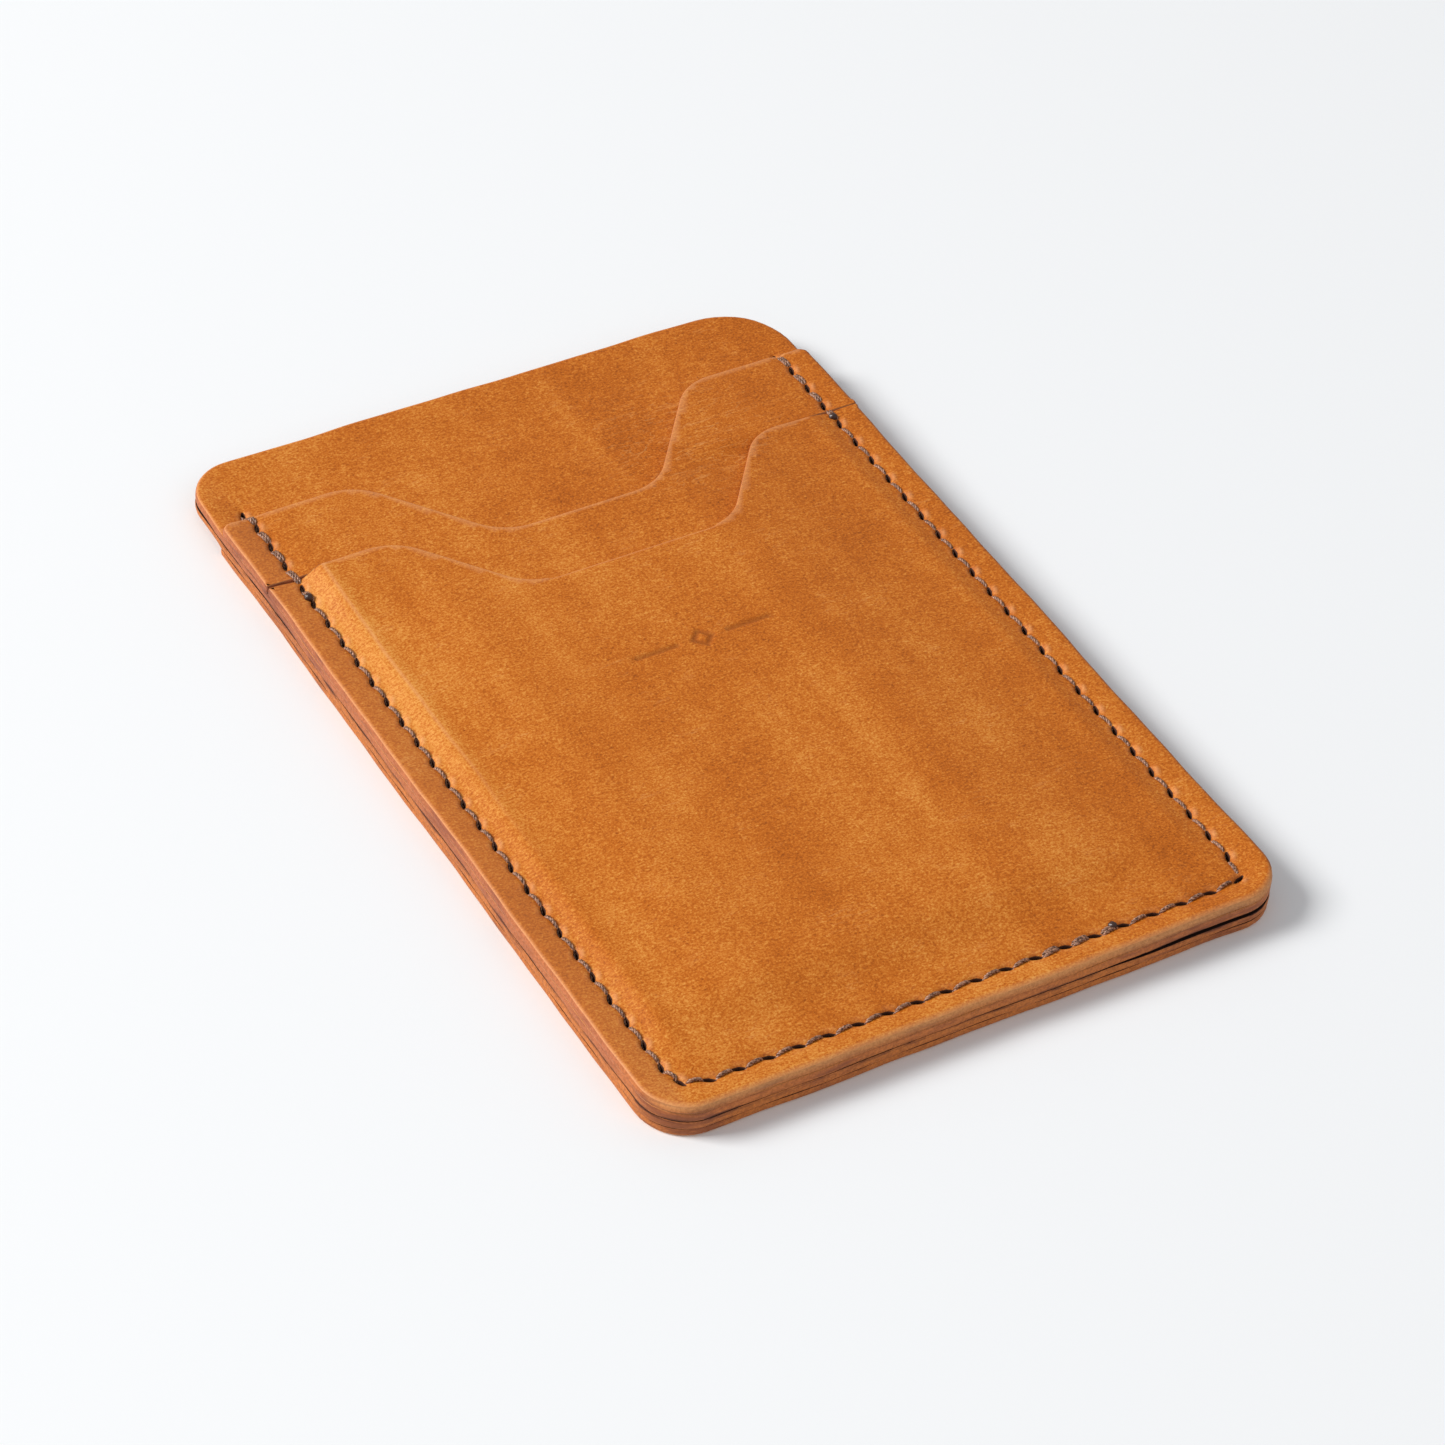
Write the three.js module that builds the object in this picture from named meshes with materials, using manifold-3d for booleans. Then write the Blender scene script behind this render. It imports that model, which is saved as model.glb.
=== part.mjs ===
// A slim upright card holder, lying on its back: five layers of leather and the threads that join them.
// Millimetres, +Z up. X runs across the holder and Y up its height, towards the pocket mouths.
// The origin is under the middle of the holder, on the surface that it lies on.

import * as THREE from 'three';
import { mergeVertices } from 'three/addons/utils/BufferGeometryUtils.js';
import Module from 'manifold-3d';

const wasm = await Module();
wasm.setup();

// The outline
const WIDTH = 76.2;
const HEIGHT = 113;
const BOTTOM_LEFT_CORNER = 5.5;
const BOTTOM_RIGHT_CORNER = 5.5;
const TOP_RIGHT_CORNER = 8.7;
const TOP_LEFT_CORNER = 5.5;
const EDGE_ROUND = 0.4; // burnished edge on the two outer faces

// The leather
const PANEL_THICKNESS = 1.1;
const POCKET_THICKNESS = 1.1;

// The pockets' mouths, measured down from the top edge, and the upper pocket's foot, up from the bottom edge
const UPPER_DROP = 11;
const FRONT_DROP = 22.9;
const BACK_DROP = 11;
const FOOT_RISE = 11;
const MOUTH_GAP = 0.3; // between the ears of the upper pocket and the front pocket that butts against them
const EAR_CORNER = 1.4;

// The thumb curves cut out of the mouths
const UPPER_CURVE_DEPTH = 15;
const UPPER_CURVE_HALF_WIDTH = 15.8; // at half its depth
const FRONT_CURVE_DEPTH = 13.5;
const FRONT_CURVE_HALF_WIDTH = 18.1;
const FRONT_CURVE_CENTRE = 0.8; // the front curve is cut a little right of the middle
const BACK_CURVE_DEPTH = 15;
const BACK_CURVE_HALF_WIDTH = 15.8;
const CURVE_RADIUS = 7;
const CURVE_SLOPE = THREE.MathUtils.degToRad(52);

// The seams
const SIDE_INSET = 3.6;
const BOTTOM_INSET = 3.2;
const STITCH = 3.65;
const LEFT_SEAM_START = 1.8; // the first hole's height above the mouth that the seam steps over
const RIGHT_SEAM_START = 0.6;
const SEAM_MEETING = 0.76; // how far along the bottom, left to right, the two seams meet
const THREAD = 0.55;
const THREAD_LIFT = 0.05;
const THREAD_NECK = 0.03; // the least that is left of a thread where it climbs over a mouth
const HUMP = 0.18; // how much higher a stitch stands at its middle
const HOLE_ALONG = 0.9; // half the length of the awl's diamond
const HOLE_ACROSS = 0.6; // half its width
const GROOVE_DEPTH = THREAD + 2 * THREAD_LIFT;
const GROOVE_WIDTH = 2 * HOLE_ACROSS + 0.2;
const LOCK_GAP = 0.15; // from the middle of the layers to where each thread turns back
const CORNER_LEG_EXTRA = 0.08;

// The upper pocket's body, and how the front pocket is formed over it
const BODY_TO_SEAM = 3.1;
const FORMING_CLEARANCE = 0.3;
const FORMING_SLOPE = 1.6; // width of the slope up onto the raised part
const FOOT_CORNER = 2.7;
const FOOT_SEAM = 2; // from the foot's edge
const FOOT_SEAM_END = 2.5; // from the body's side to the foot seam's first hole

// Levels, from the back face up
const BACK_PANEL_LEVEL = POCKET_THICKNESS;
const FRONT_PANEL_LEVEL = BACK_PANEL_LEVEL + PANEL_THICKNESS;
const POCKET_LEVEL = FRONT_PANEL_LEVEL + PANEL_THICKNESS;
const MARGIN_TOP = POCKET_LEVEL + POCKET_THICKNESS;
const RAISED_TOP = MARGIN_TOP + POCKET_THICKNESS;
const MIDDLE = MARGIN_TOP / 2;

// Places that follow from the sizes
const LEFT = -WIDTH / 2;
const RIGHT = WIDTH / 2;
const BOTTOM = -HEIGHT / 2;
const TOP = HEIGHT / 2;
const SEAM_X = WIDTH / 2 - SIDE_INSET;
const SEAM_Y = BOTTOM + BOTTOM_INSET;
const UPPER_MOUTH = TOP - UPPER_DROP;
const FRONT_MOUTH = TOP - FRONT_DROP;
const BACK_MOUTH = TOP - BACK_DROP;
const FOOT = BOTTOM + FOOT_RISE;
const BODY_HALF = SEAM_X - BODY_TO_SEAM;
const OUTLINE_CORNERS = [BOTTOM_LEFT_CORNER, BOTTOM_RIGHT_CORNER, TOP_RIGHT_CORNER, TOP_LEFT_CORNER];
const ARC_STEPS = 4;

// Materials
const leather = (color) => new THREE.MeshStandardMaterial({ color, roughness: 0.5, metalness: 0 });
const thread = () => new THREE.MeshStandardMaterial({ color: 0x4a3026, roughness: 0.75, metalness: 0 });

function solidOf(geometry) {
  geometry.deleteAttribute('normal');
  geometry.deleteAttribute('uv');
  const merged = mergeVertices(geometry, 1e-5);
  const triVerts = Uint32Array.from(merged.index.array);
  const vertProperties = merged.attributes.position.array;
  return new wasm.Manifold(new wasm.Mesh({ numProp: 3, vertProperties, triVerts }));
}

function geometryOf(solid) {
  const mesh = solid.getMesh();
  const geometry = new THREE.BufferGeometry();
  geometry.setAttribute('position', new THREE.BufferAttribute(mesh.vertProperties, 3));
  geometry.setIndex(new THREE.BufferAttribute(mesh.triVerts, 1));
  geometry.computeVertexNormals();
  return geometry;
}

function join(solids) {
  return solids.reduce((whole, piece) => whole.add(piece));
}

// A shape cut from flat stock, from one level to another.
function slab(shape, low, high) {
  const settings = { depth: high - low, bevelEnabled: false, curveSegments: ARC_STEPS };
  return solidOf(new THREE.ExtrudeGeometry(shape, settings).translate(0, 0, low));
}

// A rectangle with its own radius at each corner: bottom left, bottom right, top right, top left.
function roundedRectangle(x0, y0, x1, y1, [bottomLeft, bottomRight, topRight, topLeft]) {
  const quarter = Math.PI / 2;
  const shape = new THREE.Shape();
  shape.moveTo(x0 + bottomLeft, y0);
  shape.absarc(x1 - bottomRight, y0 + bottomRight, bottomRight, -quarter, 0);
  shape.absarc(x1 - topRight, y1 - topRight, topRight, 0, quarter);
  shape.absarc(x0 + topLeft, y1 - topLeft, topLeft, quarter, 2 * quarter);
  shape.absarc(x0 + bottomLeft, y0 + bottomLeft, bottomLeft, 2 * quarter, 3 * quarter);
  return shape;
}

// The stack's own outer form, with its two burnished edges. Every layer is trimmed to it.
function stackForm() {
  const outline = roundedRectangle(LEFT, BOTTOM, RIGHT, TOP, OUTLINE_CORNERS);
  const settings = {
    depth: MARGIN_TOP - 2 * EDGE_ROUND,
    bevelThickness: EDGE_ROUND,
    bevelSize: EDGE_ROUND,
    bevelOffset: -EDGE_ROUND,
    bevelSegments: 2,
    curveSegments: ARC_STEPS,
  };
  return solidOf(new THREE.ExtrudeGeometry(outline, settings).translate(0, 0, EDGE_ROUND));
}

// Draws a pocket's mouth from right to left: a straight shoulder, an S down to the thumb rest, and back up.
function drawMouth(shape, mouth, depth, halfWidth, centre = 0) {
  const radius = Math.min(CURVE_RADIUS, depth / 2 / (1 - Math.cos(CURVE_SLOPE)));
  const straight = (depth - 2 * radius * (1 - Math.cos(CURVE_SLOPE))) / Math.sin(CURVE_SLOPE);
  const halfSpan = radius * Math.sin(CURVE_SLOPE) + (straight * Math.cos(CURVE_SLOPE)) / 2;
  const shoulder = halfWidth + halfSpan;
  const rest = halfWidth - halfSpan;
  const up = Math.PI / 2;
  const floor = mouth - depth;
  shape.absarc(centre + shoulder, mouth - radius, radius, up, up + CURVE_SLOPE);
  shape.absarc(centre + rest, floor + radius, radius, CURVE_SLOPE - up, -up, true);
  shape.absarc(centre - rest, floor + radius, radius, -up, -up - CURVE_SLOPE, true);
  shape.absarc(centre - shoulder, mouth - radius, radius, up - CURVE_SLOPE, up);
}

// A pocket's outline over the full width of the holder, up to its mouth.
function pocketOutline(mouth, depth, halfWidth, centre) {
  const corner = EAR_CORNER;
  const shape = new THREE.Shape();
  shape.moveTo(LEFT, BOTTOM);
  shape.lineTo(RIGHT, BOTTOM);
  shape.absarc(RIGHT - corner, mouth - corner, corner, 0, Math.PI / 2);
  drawMouth(shape, mouth, depth, halfWidth, centre);
  shape.absarc(LEFT + corner, mouth - corner, corner, Math.PI / 2, Math.PI);
  return shape;
}

// The upper pocket: ears out to the side edges, and a narrower body down behind the front pocket.
function upperPocketOutline() {
  const earBottom = FRONT_MOUTH + MOUTH_GAP;
  const shape = new THREE.Shape();
  shape.absarc(FOOT_CORNER - BODY_HALF, FOOT + FOOT_CORNER, FOOT_CORNER, Math.PI, 1.5 * Math.PI);
  shape.absarc(BODY_HALF - FOOT_CORNER, FOOT + FOOT_CORNER, FOOT_CORNER, -Math.PI / 2, 0);
  shape.lineTo(BODY_HALF, earBottom);
  shape.lineTo(RIGHT, earBottom);
  shape.absarc(RIGHT - EAR_CORNER, UPPER_MOUTH - EAR_CORNER, EAR_CORNER, 0, Math.PI / 2);
  drawMouth(shape, UPPER_MOUTH, UPPER_CURVE_DEPTH, UPPER_CURVE_HALF_WIDTH);
  shape.absarc(LEFT + EAR_CORNER, UPPER_MOUTH - EAR_CORNER, EAR_CORNER, Math.PI / 2, Math.PI);
  shape.lineTo(LEFT, earBottom);
  shape.lineTo(-BODY_HALF, earBottom);
  return shape;
}

// The raised form over the upper pocket's body: sloping sides above a level, and upright ones for a little below it.
// It runs out past the mouth.
function formedBlock(level) {
  const halfWidth = BODY_HALF + FORMING_CLEARANCE;
  const low = FOOT - FORMING_CLEARANCE;
  const corner = FOOT_CORNER + FORMING_CLEARANCE;
  const outline = roundedRectangle(-halfWidth, low, halfWidth, TOP + HEIGHT, [corner, corner, corner, corner]);
  const settings = {
    depth: POCKET_THICKNESS,
    bevelThickness: POCKET_THICKNESS,
    bevelSize: FORMING_SLOPE,
    bevelSegments: 1,
    curveSegments: ARC_STEPS,
  };
  const block = solidOf(new THREE.ExtrudeGeometry(outline, settings).translate(0, 0, level - POCKET_THICKNESS));
  const reach = 4 * (WIDTH + HEIGHT);
  const above = new THREE.BoxGeometry(reach, reach, reach);
  return block.intersect(solidOf(above.translate(0, 0, level - POCKET_THICKNESS / 2 + reach / 2)));
}

// Evenly spaced places from one end of a row to the other, as near the chosen stitch length as fits.
function stitchRow(from, to, stitch = STITCH) {
  const count = Math.max(1, Math.round(from.distanceTo(to) / stitch));
  return Array.from({ length: count + 1 }, (_, i) => from.clone().lerp(to, i / count));
}

const bottomRow = stitchRow(new THREE.Vector2(-SEAM_X, SEAM_Y), new THREE.Vector2(SEAM_X, SEAM_Y));
const meeting = Math.round(SEAM_MEETING * (bottomRow.length - 1));
const leftRow = stitchRow(new THREE.Vector2(-SEAM_X, UPPER_MOUTH + LEFT_SEAM_START), bottomRow[0]);
const rightRow = stitchRow(new THREE.Vector2(SEAM_X, UPPER_MOUTH + RIGHT_SEAM_START), bottomRow.at(-1));
const leftBottomRow = bottomRow.slice(0, meeting + 1);
const rightBottomRow = bottomRow.slice(meeting).reverse();
const footRow = stitchRow(
  new THREE.Vector2(-BODY_HALF + FOOT_SEAM_END, FOOT + FOOT_SEAM),
  new THREE.Vector2(BODY_HALF - FOOT_SEAM_END, FOOT + FOOT_SEAM),
);

// The seams' last legs stand side by side in the hole that they share.
const LEG_SHIFT = THREAD / 2 + LOCK_GAP;

// The awl's diamond through all layers, lying along a row's direction.
function awlHole(point, direction, shift = 0) {
  const shape = new THREE.Shape();
  shape.moveTo(HOLE_ALONG, 0);
  shape.lineTo(0, HOLE_ACROSS);
  shape.lineTo(-HOLE_ALONG, 0);
  shape.lineTo(0, -HOLE_ACROSS);
  const settings = { depth: RAISED_TOP + 2, bevelEnabled: false };
  const hole = new THREE.ExtrudeGeometry(shape, settings).translate(shift, 0, -1);
  hole.rotateZ(direction.angle()).translate(point.x, point.y, 0);
  return solidOf(hole);
}

function awlHoles(row, skip = 0) {
  const direction = row[1].clone().sub(row[0]).normalize();
  return row.slice(skip).map((point) => awlHole(point, direction));
}

function seamHoles() {
  const side = [...awlHoles(leftRow), ...awlHoles(rightRow)];
  const bottom = bottomRow.slice(1, -1).flatMap((point, i) => {
    const shifts = i + 1 === meeting ? [-LEG_SHIFT, LEG_SHIFT] : [0];
    return shifts.map((shift) => awlHole(point, new THREE.Vector2(1, 0), shift));
  });
  return join([...side, ...bottom]);
}

// The channel that a row of stitches lies in, from one level to another.
function groove(row, low, high) {
  const [from, to] = [row[0], row.at(-1)];
  const length = from.distanceTo(to) + 2 * HOLE_ALONG + GROOVE_WIDTH;
  const channel = new THREE.BoxGeometry(length, GROOVE_WIDTH, high - low);
  channel.rotateZ(to.clone().sub(from).angle());
  channel.translate((from.x + to.x) / 2, (from.y + to.y) / 2, (low + high) / 2);
  return solidOf(channel);
}

// One thread along one row, as a comb: a run over each stitch, and a leg down each hole to the lock.
// It lies on a level, which differs at the first hole where the row steps over a mouth that far from the hole.
// `side` is 1 above the leather and -1 below it.
function threadComb(row, { level, firstLevel = level, step = 0, lock, side, hump = 0, shiftLast = 0 }) {
  const spacing = row[0].distanceTo(row[1]);
  const leg = THREAD / 2;
  const climb = Math.max(leg, step - HOLE_ACROSS);
  const last = row.length - 1;
  const place = (i) => i * spacing + (i === last ? shiftLast : 0);
  const inner = side * level + THREAD_LIFT;
  const firstInner = side * firstLevel + THREAD_LIFT;
  const crown = inner + THREAD + hump;
  const climbShare = (climb + leg) / (spacing / 4 + leg);
  const clearing = climbShare < 1 ? (inner + THREAD_NECK - crown * climbShare) / (1 - climbShare) : firstInner;
  const shape = new THREE.Shape();
  shape.moveTo(-leg, side * lock);
  shape.lineTo(-leg, step > 0 ? Math.max(firstInner + THREAD, clearing) : firstInner + THREAD);
  for (let i = 0; i < last; i += 1) {
    shape.lineTo(place(i) + spacing / 4, crown);
    shape.lineTo(place(i + 1) - spacing / 4, crown);
    shape.lineTo(place(i + 1), crown - hump);
  }
  shape.lineTo(place(last) + leg, crown - hump);
  shape.lineTo(place(last) + leg, side * lock);
  for (let i = last; i > 0; i -= 1) {
    shape.lineTo(place(i) - leg, side * lock);
    shape.lineTo(place(i) - leg, inner);
    if (i === 1 && step > 0) {
      shape.lineTo(climb, inner);
      shape.lineTo(leg, firstInner);
    } else {
      shape.lineTo(place(i - 1) + leg, inner);
    }
    shape.lineTo(place(i - 1) + leg, side * lock);
  }
  const settings = { depth: THREAD, bevelEnabled: false };
  const comb = new THREE.ExtrudeGeometry(shape, settings).translate(0, 0, -THREAD / 2);
  comb.rotateX(side * Math.PI / 2);
  comb.rotateZ(row[1].clone().sub(row[0]).angle());
  comb.translate(row[0].x, row[0].y, 0);
  return solidOf(comb);
}

// Where a thread turns the bottom corner, one stout leg takes the place of the two that meet there.
function cornerLeg(point, { level, lock, side }) {
  const low = side * lock - CORNER_LEG_EXTRA / 2;
  const high = side * level + THREAD_LIFT + THREAD + CORNER_LEG_EXTRA / 2;
  const width = THREAD + CORNER_LEG_EXTRA;
  const leg = new THREE.BoxGeometry(width, width, high - low);
  return solidOf(leg.translate(point.x, point.y, side * (low + high) / 2));
}

// The needle thread lies on the pocket's margin. Its first stitch starts on the panel, above the ear.
function needleThread(sideRow, bottomPart, step) {
  const common = { level: MARGIN_TOP, lock: MIDDLE + LOCK_GAP, side: 1, hump: HUMP };
  const down = threadComb(sideRow, { ...common, firstLevel: POCKET_LEVEL, step });
  const across = threadComb(bottomPart, { ...common, shiftLast: -LEG_SHIFT });
  return join([down, cornerLeg(bottomPart[0], common), across]);
}

// The bobbin thread lies in the back pocket's groove. Its first stitch starts on the back panel.
function bobbinThread(sideRow, bottomPart, step) {
  const common = { level: GROOVE_DEPTH, lock: MIDDLE - LOCK_GAP, side: -1 };
  const down = threadComb(sideRow, { ...common, firstLevel: BACK_PANEL_LEVEL, step });
  const across = threadComb(bottomPart, { ...common, shiftLast: -LEG_SHIFT });
  return join([down, cornerLeg(bottomPart[0], common), across]);
}

function frontPocket(form, holes) {
  const outline = pocketOutline(FRONT_MOUTH, FRONT_CURVE_DEPTH, FRONT_CURVE_HALF_WIDTH, FRONT_CURVE_CENTRE);
  const margin = slab(outline, POCKET_LEVEL, MARGIN_TOP).intersect(form);
  const raised = formedBlock(MARGIN_TOP).intersect(slab(outline, POCKET_LEVEL, RAISED_TOP));
  return margin.add(raised).subtract(formedBlock(POCKET_LEVEL)).subtract(holes);
}

function upperPocket(form, holes, footHoles) {
  const plain = slab(upperPocketOutline(), POCKET_LEVEL, MARGIN_TOP).intersect(form);
  const channel = groove(footRow, MARGIN_TOP - GROOVE_DEPTH, MARGIN_TOP + 1);
  return plain.subtract(holes).subtract(footHoles).subtract(channel);
}

function frontPanel(form, holes, footHoles) {
  const plain = slab(roundedRectangle(LEFT, BOTTOM, RIGHT, TOP, OUTLINE_CORNERS), FRONT_PANEL_LEVEL, POCKET_LEVEL);
  const channel = groove(footRow, FRONT_PANEL_LEVEL - 1, FRONT_PANEL_LEVEL + GROOVE_DEPTH);
  return plain.subtract(holes).subtract(footHoles).subtract(channel);
}

function backPanel(holes) {
  const outline = roundedRectangle(LEFT, BOTTOM, RIGHT, TOP, OUTLINE_CORNERS);
  return slab(outline, BACK_PANEL_LEVEL, FRONT_PANEL_LEVEL).subtract(holes);
}

function backPocket(form, holes) {
  const outline = pocketOutline(BACK_MOUTH, BACK_CURVE_DEPTH, BACK_CURVE_HALF_WIDTH, 0);
  const plain = slab(outline, 0, BACK_PANEL_LEVEL).intersect(form).subtract(holes);
  return [leftRow, rightRow, bottomRow].reduce((pocket, row) => pocket.subtract(groove(row, -1, GROOVE_DEPTH)), plain);
}

function footNeedleThread() {
  return threadComb(footRow, { level: MARGIN_TOP - GROOVE_DEPTH, lock: POCKET_LEVEL + LOCK_GAP, side: 1 });
}

function footBobbinThread() {
  return threadComb(footRow, { level: FRONT_PANEL_LEVEL + GROOVE_DEPTH, lock: POCKET_LEVEL - LOCK_GAP, side: -1 });
}

const form = stackForm();
const holes = seamHoles();
const footHoles = join(awlHoles(footRow));

const pieces = [
  ['back_pocket', backPocket(form, holes), leather(0xb96a2d)],
  ['back_panel', backPanel(holes), leather(0xc06f33)],
  ['front_panel', frontPanel(form, holes, footHoles), leather(0xca6f28)],
  ['upper_pocket', upperPocket(form, holes, footHoles), leather(0xcb7029)],
  ['front_pocket', frontPocket(form, holes), leather(0xc96c22)],
  ['left_seam_needle_thread', needleThread(leftRow, leftBottomRow, LEFT_SEAM_START), thread()],
  ['left_seam_bobbin_thread', bobbinThread(leftRow, leftBottomRow, LEFT_SEAM_START), thread()],
  ['right_seam_needle_thread', needleThread(rightRow, rightBottomRow, RIGHT_SEAM_START), thread()],
  ['right_seam_bobbin_thread', bobbinThread(rightRow, rightBottomRow, RIGHT_SEAM_START), thread()],
  ['foot_seam_needle_thread', footNeedleThread(), thread()],
  ['foot_seam_bobbin_thread', footBobbinThread(), thread()],
];

const holder = new THREE.Group();
for (const [name, solid, material] of pieces) {
  const mesh = new THREE.Mesh(geometryOf(solid), material);
  mesh.name = name;
  holder.add(mesh);
}

export default holder;
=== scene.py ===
"""A slim upright card holder in waxed vegetable-tanned leather, lying on its back.

Five layers of leather are built as shaped sheets with awl holes, formed fronts and burnished
edges, and six waxed threads as three-ply twists that run through the holes.
"""

import math

import bpy
import numpy as np
from mathutils import Matrix, Vector
from mathutils.geometry import delaunay_2d_cdt


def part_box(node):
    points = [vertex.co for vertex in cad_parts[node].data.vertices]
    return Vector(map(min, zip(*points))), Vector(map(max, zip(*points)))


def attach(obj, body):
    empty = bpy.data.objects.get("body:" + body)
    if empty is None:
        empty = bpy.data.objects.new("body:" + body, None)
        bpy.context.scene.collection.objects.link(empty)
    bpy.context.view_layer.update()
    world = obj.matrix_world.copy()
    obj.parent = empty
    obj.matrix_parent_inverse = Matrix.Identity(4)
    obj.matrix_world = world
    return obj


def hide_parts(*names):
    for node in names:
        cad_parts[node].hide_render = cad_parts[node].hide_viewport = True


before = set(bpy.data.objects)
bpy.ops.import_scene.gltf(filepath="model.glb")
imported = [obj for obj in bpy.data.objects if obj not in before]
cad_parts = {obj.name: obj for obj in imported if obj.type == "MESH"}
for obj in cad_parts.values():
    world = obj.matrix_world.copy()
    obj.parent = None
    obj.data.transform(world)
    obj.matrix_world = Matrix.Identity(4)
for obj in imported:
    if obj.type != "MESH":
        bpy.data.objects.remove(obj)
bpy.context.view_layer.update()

bl_info = {
    "name": "Card Holder",
    "version": (1, 0, 0),
    "blender": (4, 5, 0),
    "location": "3D View > Sidebar > Card Holder",
    "description": "Builds a stitched leather card holder and the stage it lies on",
    "category": "Object",
}

MM = 0.001


def edges_of(node):
    """A node's lowest and highest corner, in millimetres."""
    low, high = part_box(node)
    return np.array(low) / MM, np.array(high) / MM


# Places that come from the frame, in millimetres
PANEL_LOW, PANEL_HIGH = edges_of("front_panel")
UPPER_LOW, UPPER_HIGH = edges_of("upper_pocket")
_, FRONT_HIGH = edges_of("front_pocket")
_, BACK_HIGH = edges_of("back_pocket")
LEFT, RIGHT = float(PANEL_LOW[0]), float(PANEL_HIGH[0])
BOTTOM, TOP = float(PANEL_LOW[1]), float(PANEL_HIGH[1])
UPPER_MOUTH, FOOT = float(UPPER_HIGH[1]), float(UPPER_LOW[1])
FRONT_MOUTH, BACK_MOUTH = float(FRONT_HIGH[1]), float(BACK_HIGH[1])
BACK_PANEL_LEVEL = float(BACK_HIGH[2])
FRONT_PANEL_LEVEL = float(PANEL_LOW[2])
POCKET_LEVEL = float(PANEL_HIGH[2])
MARGIN_TOP = float(UPPER_HIGH[2])
LEATHER = POCKET_LEVEL - FRONT_PANEL_LEVEL

# Shapes that follow the pattern pieces, in millimetres
BOTTOM_LEFT_CORNER = 5.5
BOTTOM_RIGHT_CORNER = 5.5
TOP_RIGHT_CORNER = 8.7
TOP_LEFT_CORNER = 5.5
EAR_CORNER = 0.9
BUTT_GAP = 0.07  # between the front pocket and the ears that it butts against
# A thumb curve's depth, its half width at half that depth, and its centre
UPPER_CURVE = (15.0, 15.8, 0.0)
FRONT_CURVE = (13.5, 18.1, 0.8)
BACK_CURVE = (15.0, 15.8, 0.0)
CURVE_RADIUS = 7.0
CURVE_SLOPE = 52.0  # of its straight sides, in degrees
BODY_HALF = 31.4  # half the width of the upper pocket's body
FOOT_CORNER = 2.7
SEAM_X = RIGHT - 3.6
SEAM_Y = BOTTOM + 3.2
LEFT_SEAM_START = 1.8  # the first hole's height above the upper mouth
RIGHT_SEAM_START = 0.6
MEETING_HOLE = 15  # in the bottom row, from the left, where the two side seams meet
OVERLAP = 3  # stitches that both seams share there
FOOT_SEAM_Y = FOOT + 2.0
FOOT_SEAM_X = BODY_HALF - 2.5
SLIT_TURN = math.radians(-18.0)  # of an awl hole, from its seam's line
ORNAMENT = (0.6, 3.9)  # its centre
VALLEY = 0.26  # how far the stitches pull the leather down along the seam line


# ---------------------------------------------------------------- settings


def length_setting(name, description, default, **limits):
    """A length in metres, shown in the scene's unit."""
    return bpy.props.FloatProperty(
        name=name, description=description, default=default, unit="LENGTH", subtype="DISTANCE", **limits
    )


def angle_setting(name, description, degrees):
    """An angle, given in degrees."""
    return bpy.props.FloatProperty(
        name=name, description=description, default=math.radians(degrees), unit="ROTATION", subtype="ANGLE"
    )


def colour_setting(name, description, default):
    """A linear colour."""
    return bpy.props.FloatVectorProperty(
        name=name, description=description, default=default, size=3, min=0.0, max=1.0, subtype="COLOR"
    )


class CardHolderLeather(bpy.types.PropertyGroup):
    outline_step: length_setting("Outline step", "Spacing of the points along a cut edge", 0.00042, min=0.0002)
    plain_step: length_setting("Plain step", "Spacing of the points on open leather", 0.001, min=0.0004)
    seam_step: length_setting("Seam step", "Spacing of the points beside the stitches", 0.00026, min=0.00015)
    outer_round: length_setting("Outer edge", "Rounding of the burnished edge on the two outer faces", 0.0005)
    layer_round: length_setting("Layer edge", "Rounding where two layers meet on the burnished edge", 0.0001)
    mouth_round: length_setting("Mouth edge", "Rounding of the creased edge along a pocket's mouth", 0.00021)
    sanding: length_setting("Sanding", "How far the hand-sanded outline wanders from the pattern", 0.0001)
    pillow: length_setting("Pillow", "How much the pockets crown between the seams", 0.00028)
    side_slope: length_setting("Side slope", "Width of the slope beside the pocket's raised part", 0.0026)
    foot_slope: length_setting("Foot slope", "Width of the slope below the pocket's raised part", 0.008)
    sleeve_gap: length_setting("Sleeve gap", "How far the note sleeve stands open at the top edge", 0.00035)
    corner_gap: length_setting("Corner gap", "How far the two panels part at the bottom right corner", 0.0005)
    grain_colour: colour_setting("Tan", "Colour of the waxed grain", (0.52, 0.127, 0.006))


class CardHolderStitching(bpy.types.PropertyGroup):
    thread: length_setting("Thread", "Thickness of the waxed thread", 0.00044)
    lay: length_setting("Lay", "Length of one full turn of the twist", 0.0014)
    hole_length: length_setting("Hole length", "Length of the slanted awl slit", 0.0018)
    hole_width: length_setting("Hole width", "Width of the slanted awl slit", 0.0006)
    slant: length_setting("Slant", "How far a stitch runs to one side of the seam line", 0.00016)
    back_tack: bpy.props.IntProperty(
        name="Back tack",
        description="Stitches sewn twice where a seam starts",
        default=5,
        min=0,
    )


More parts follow.
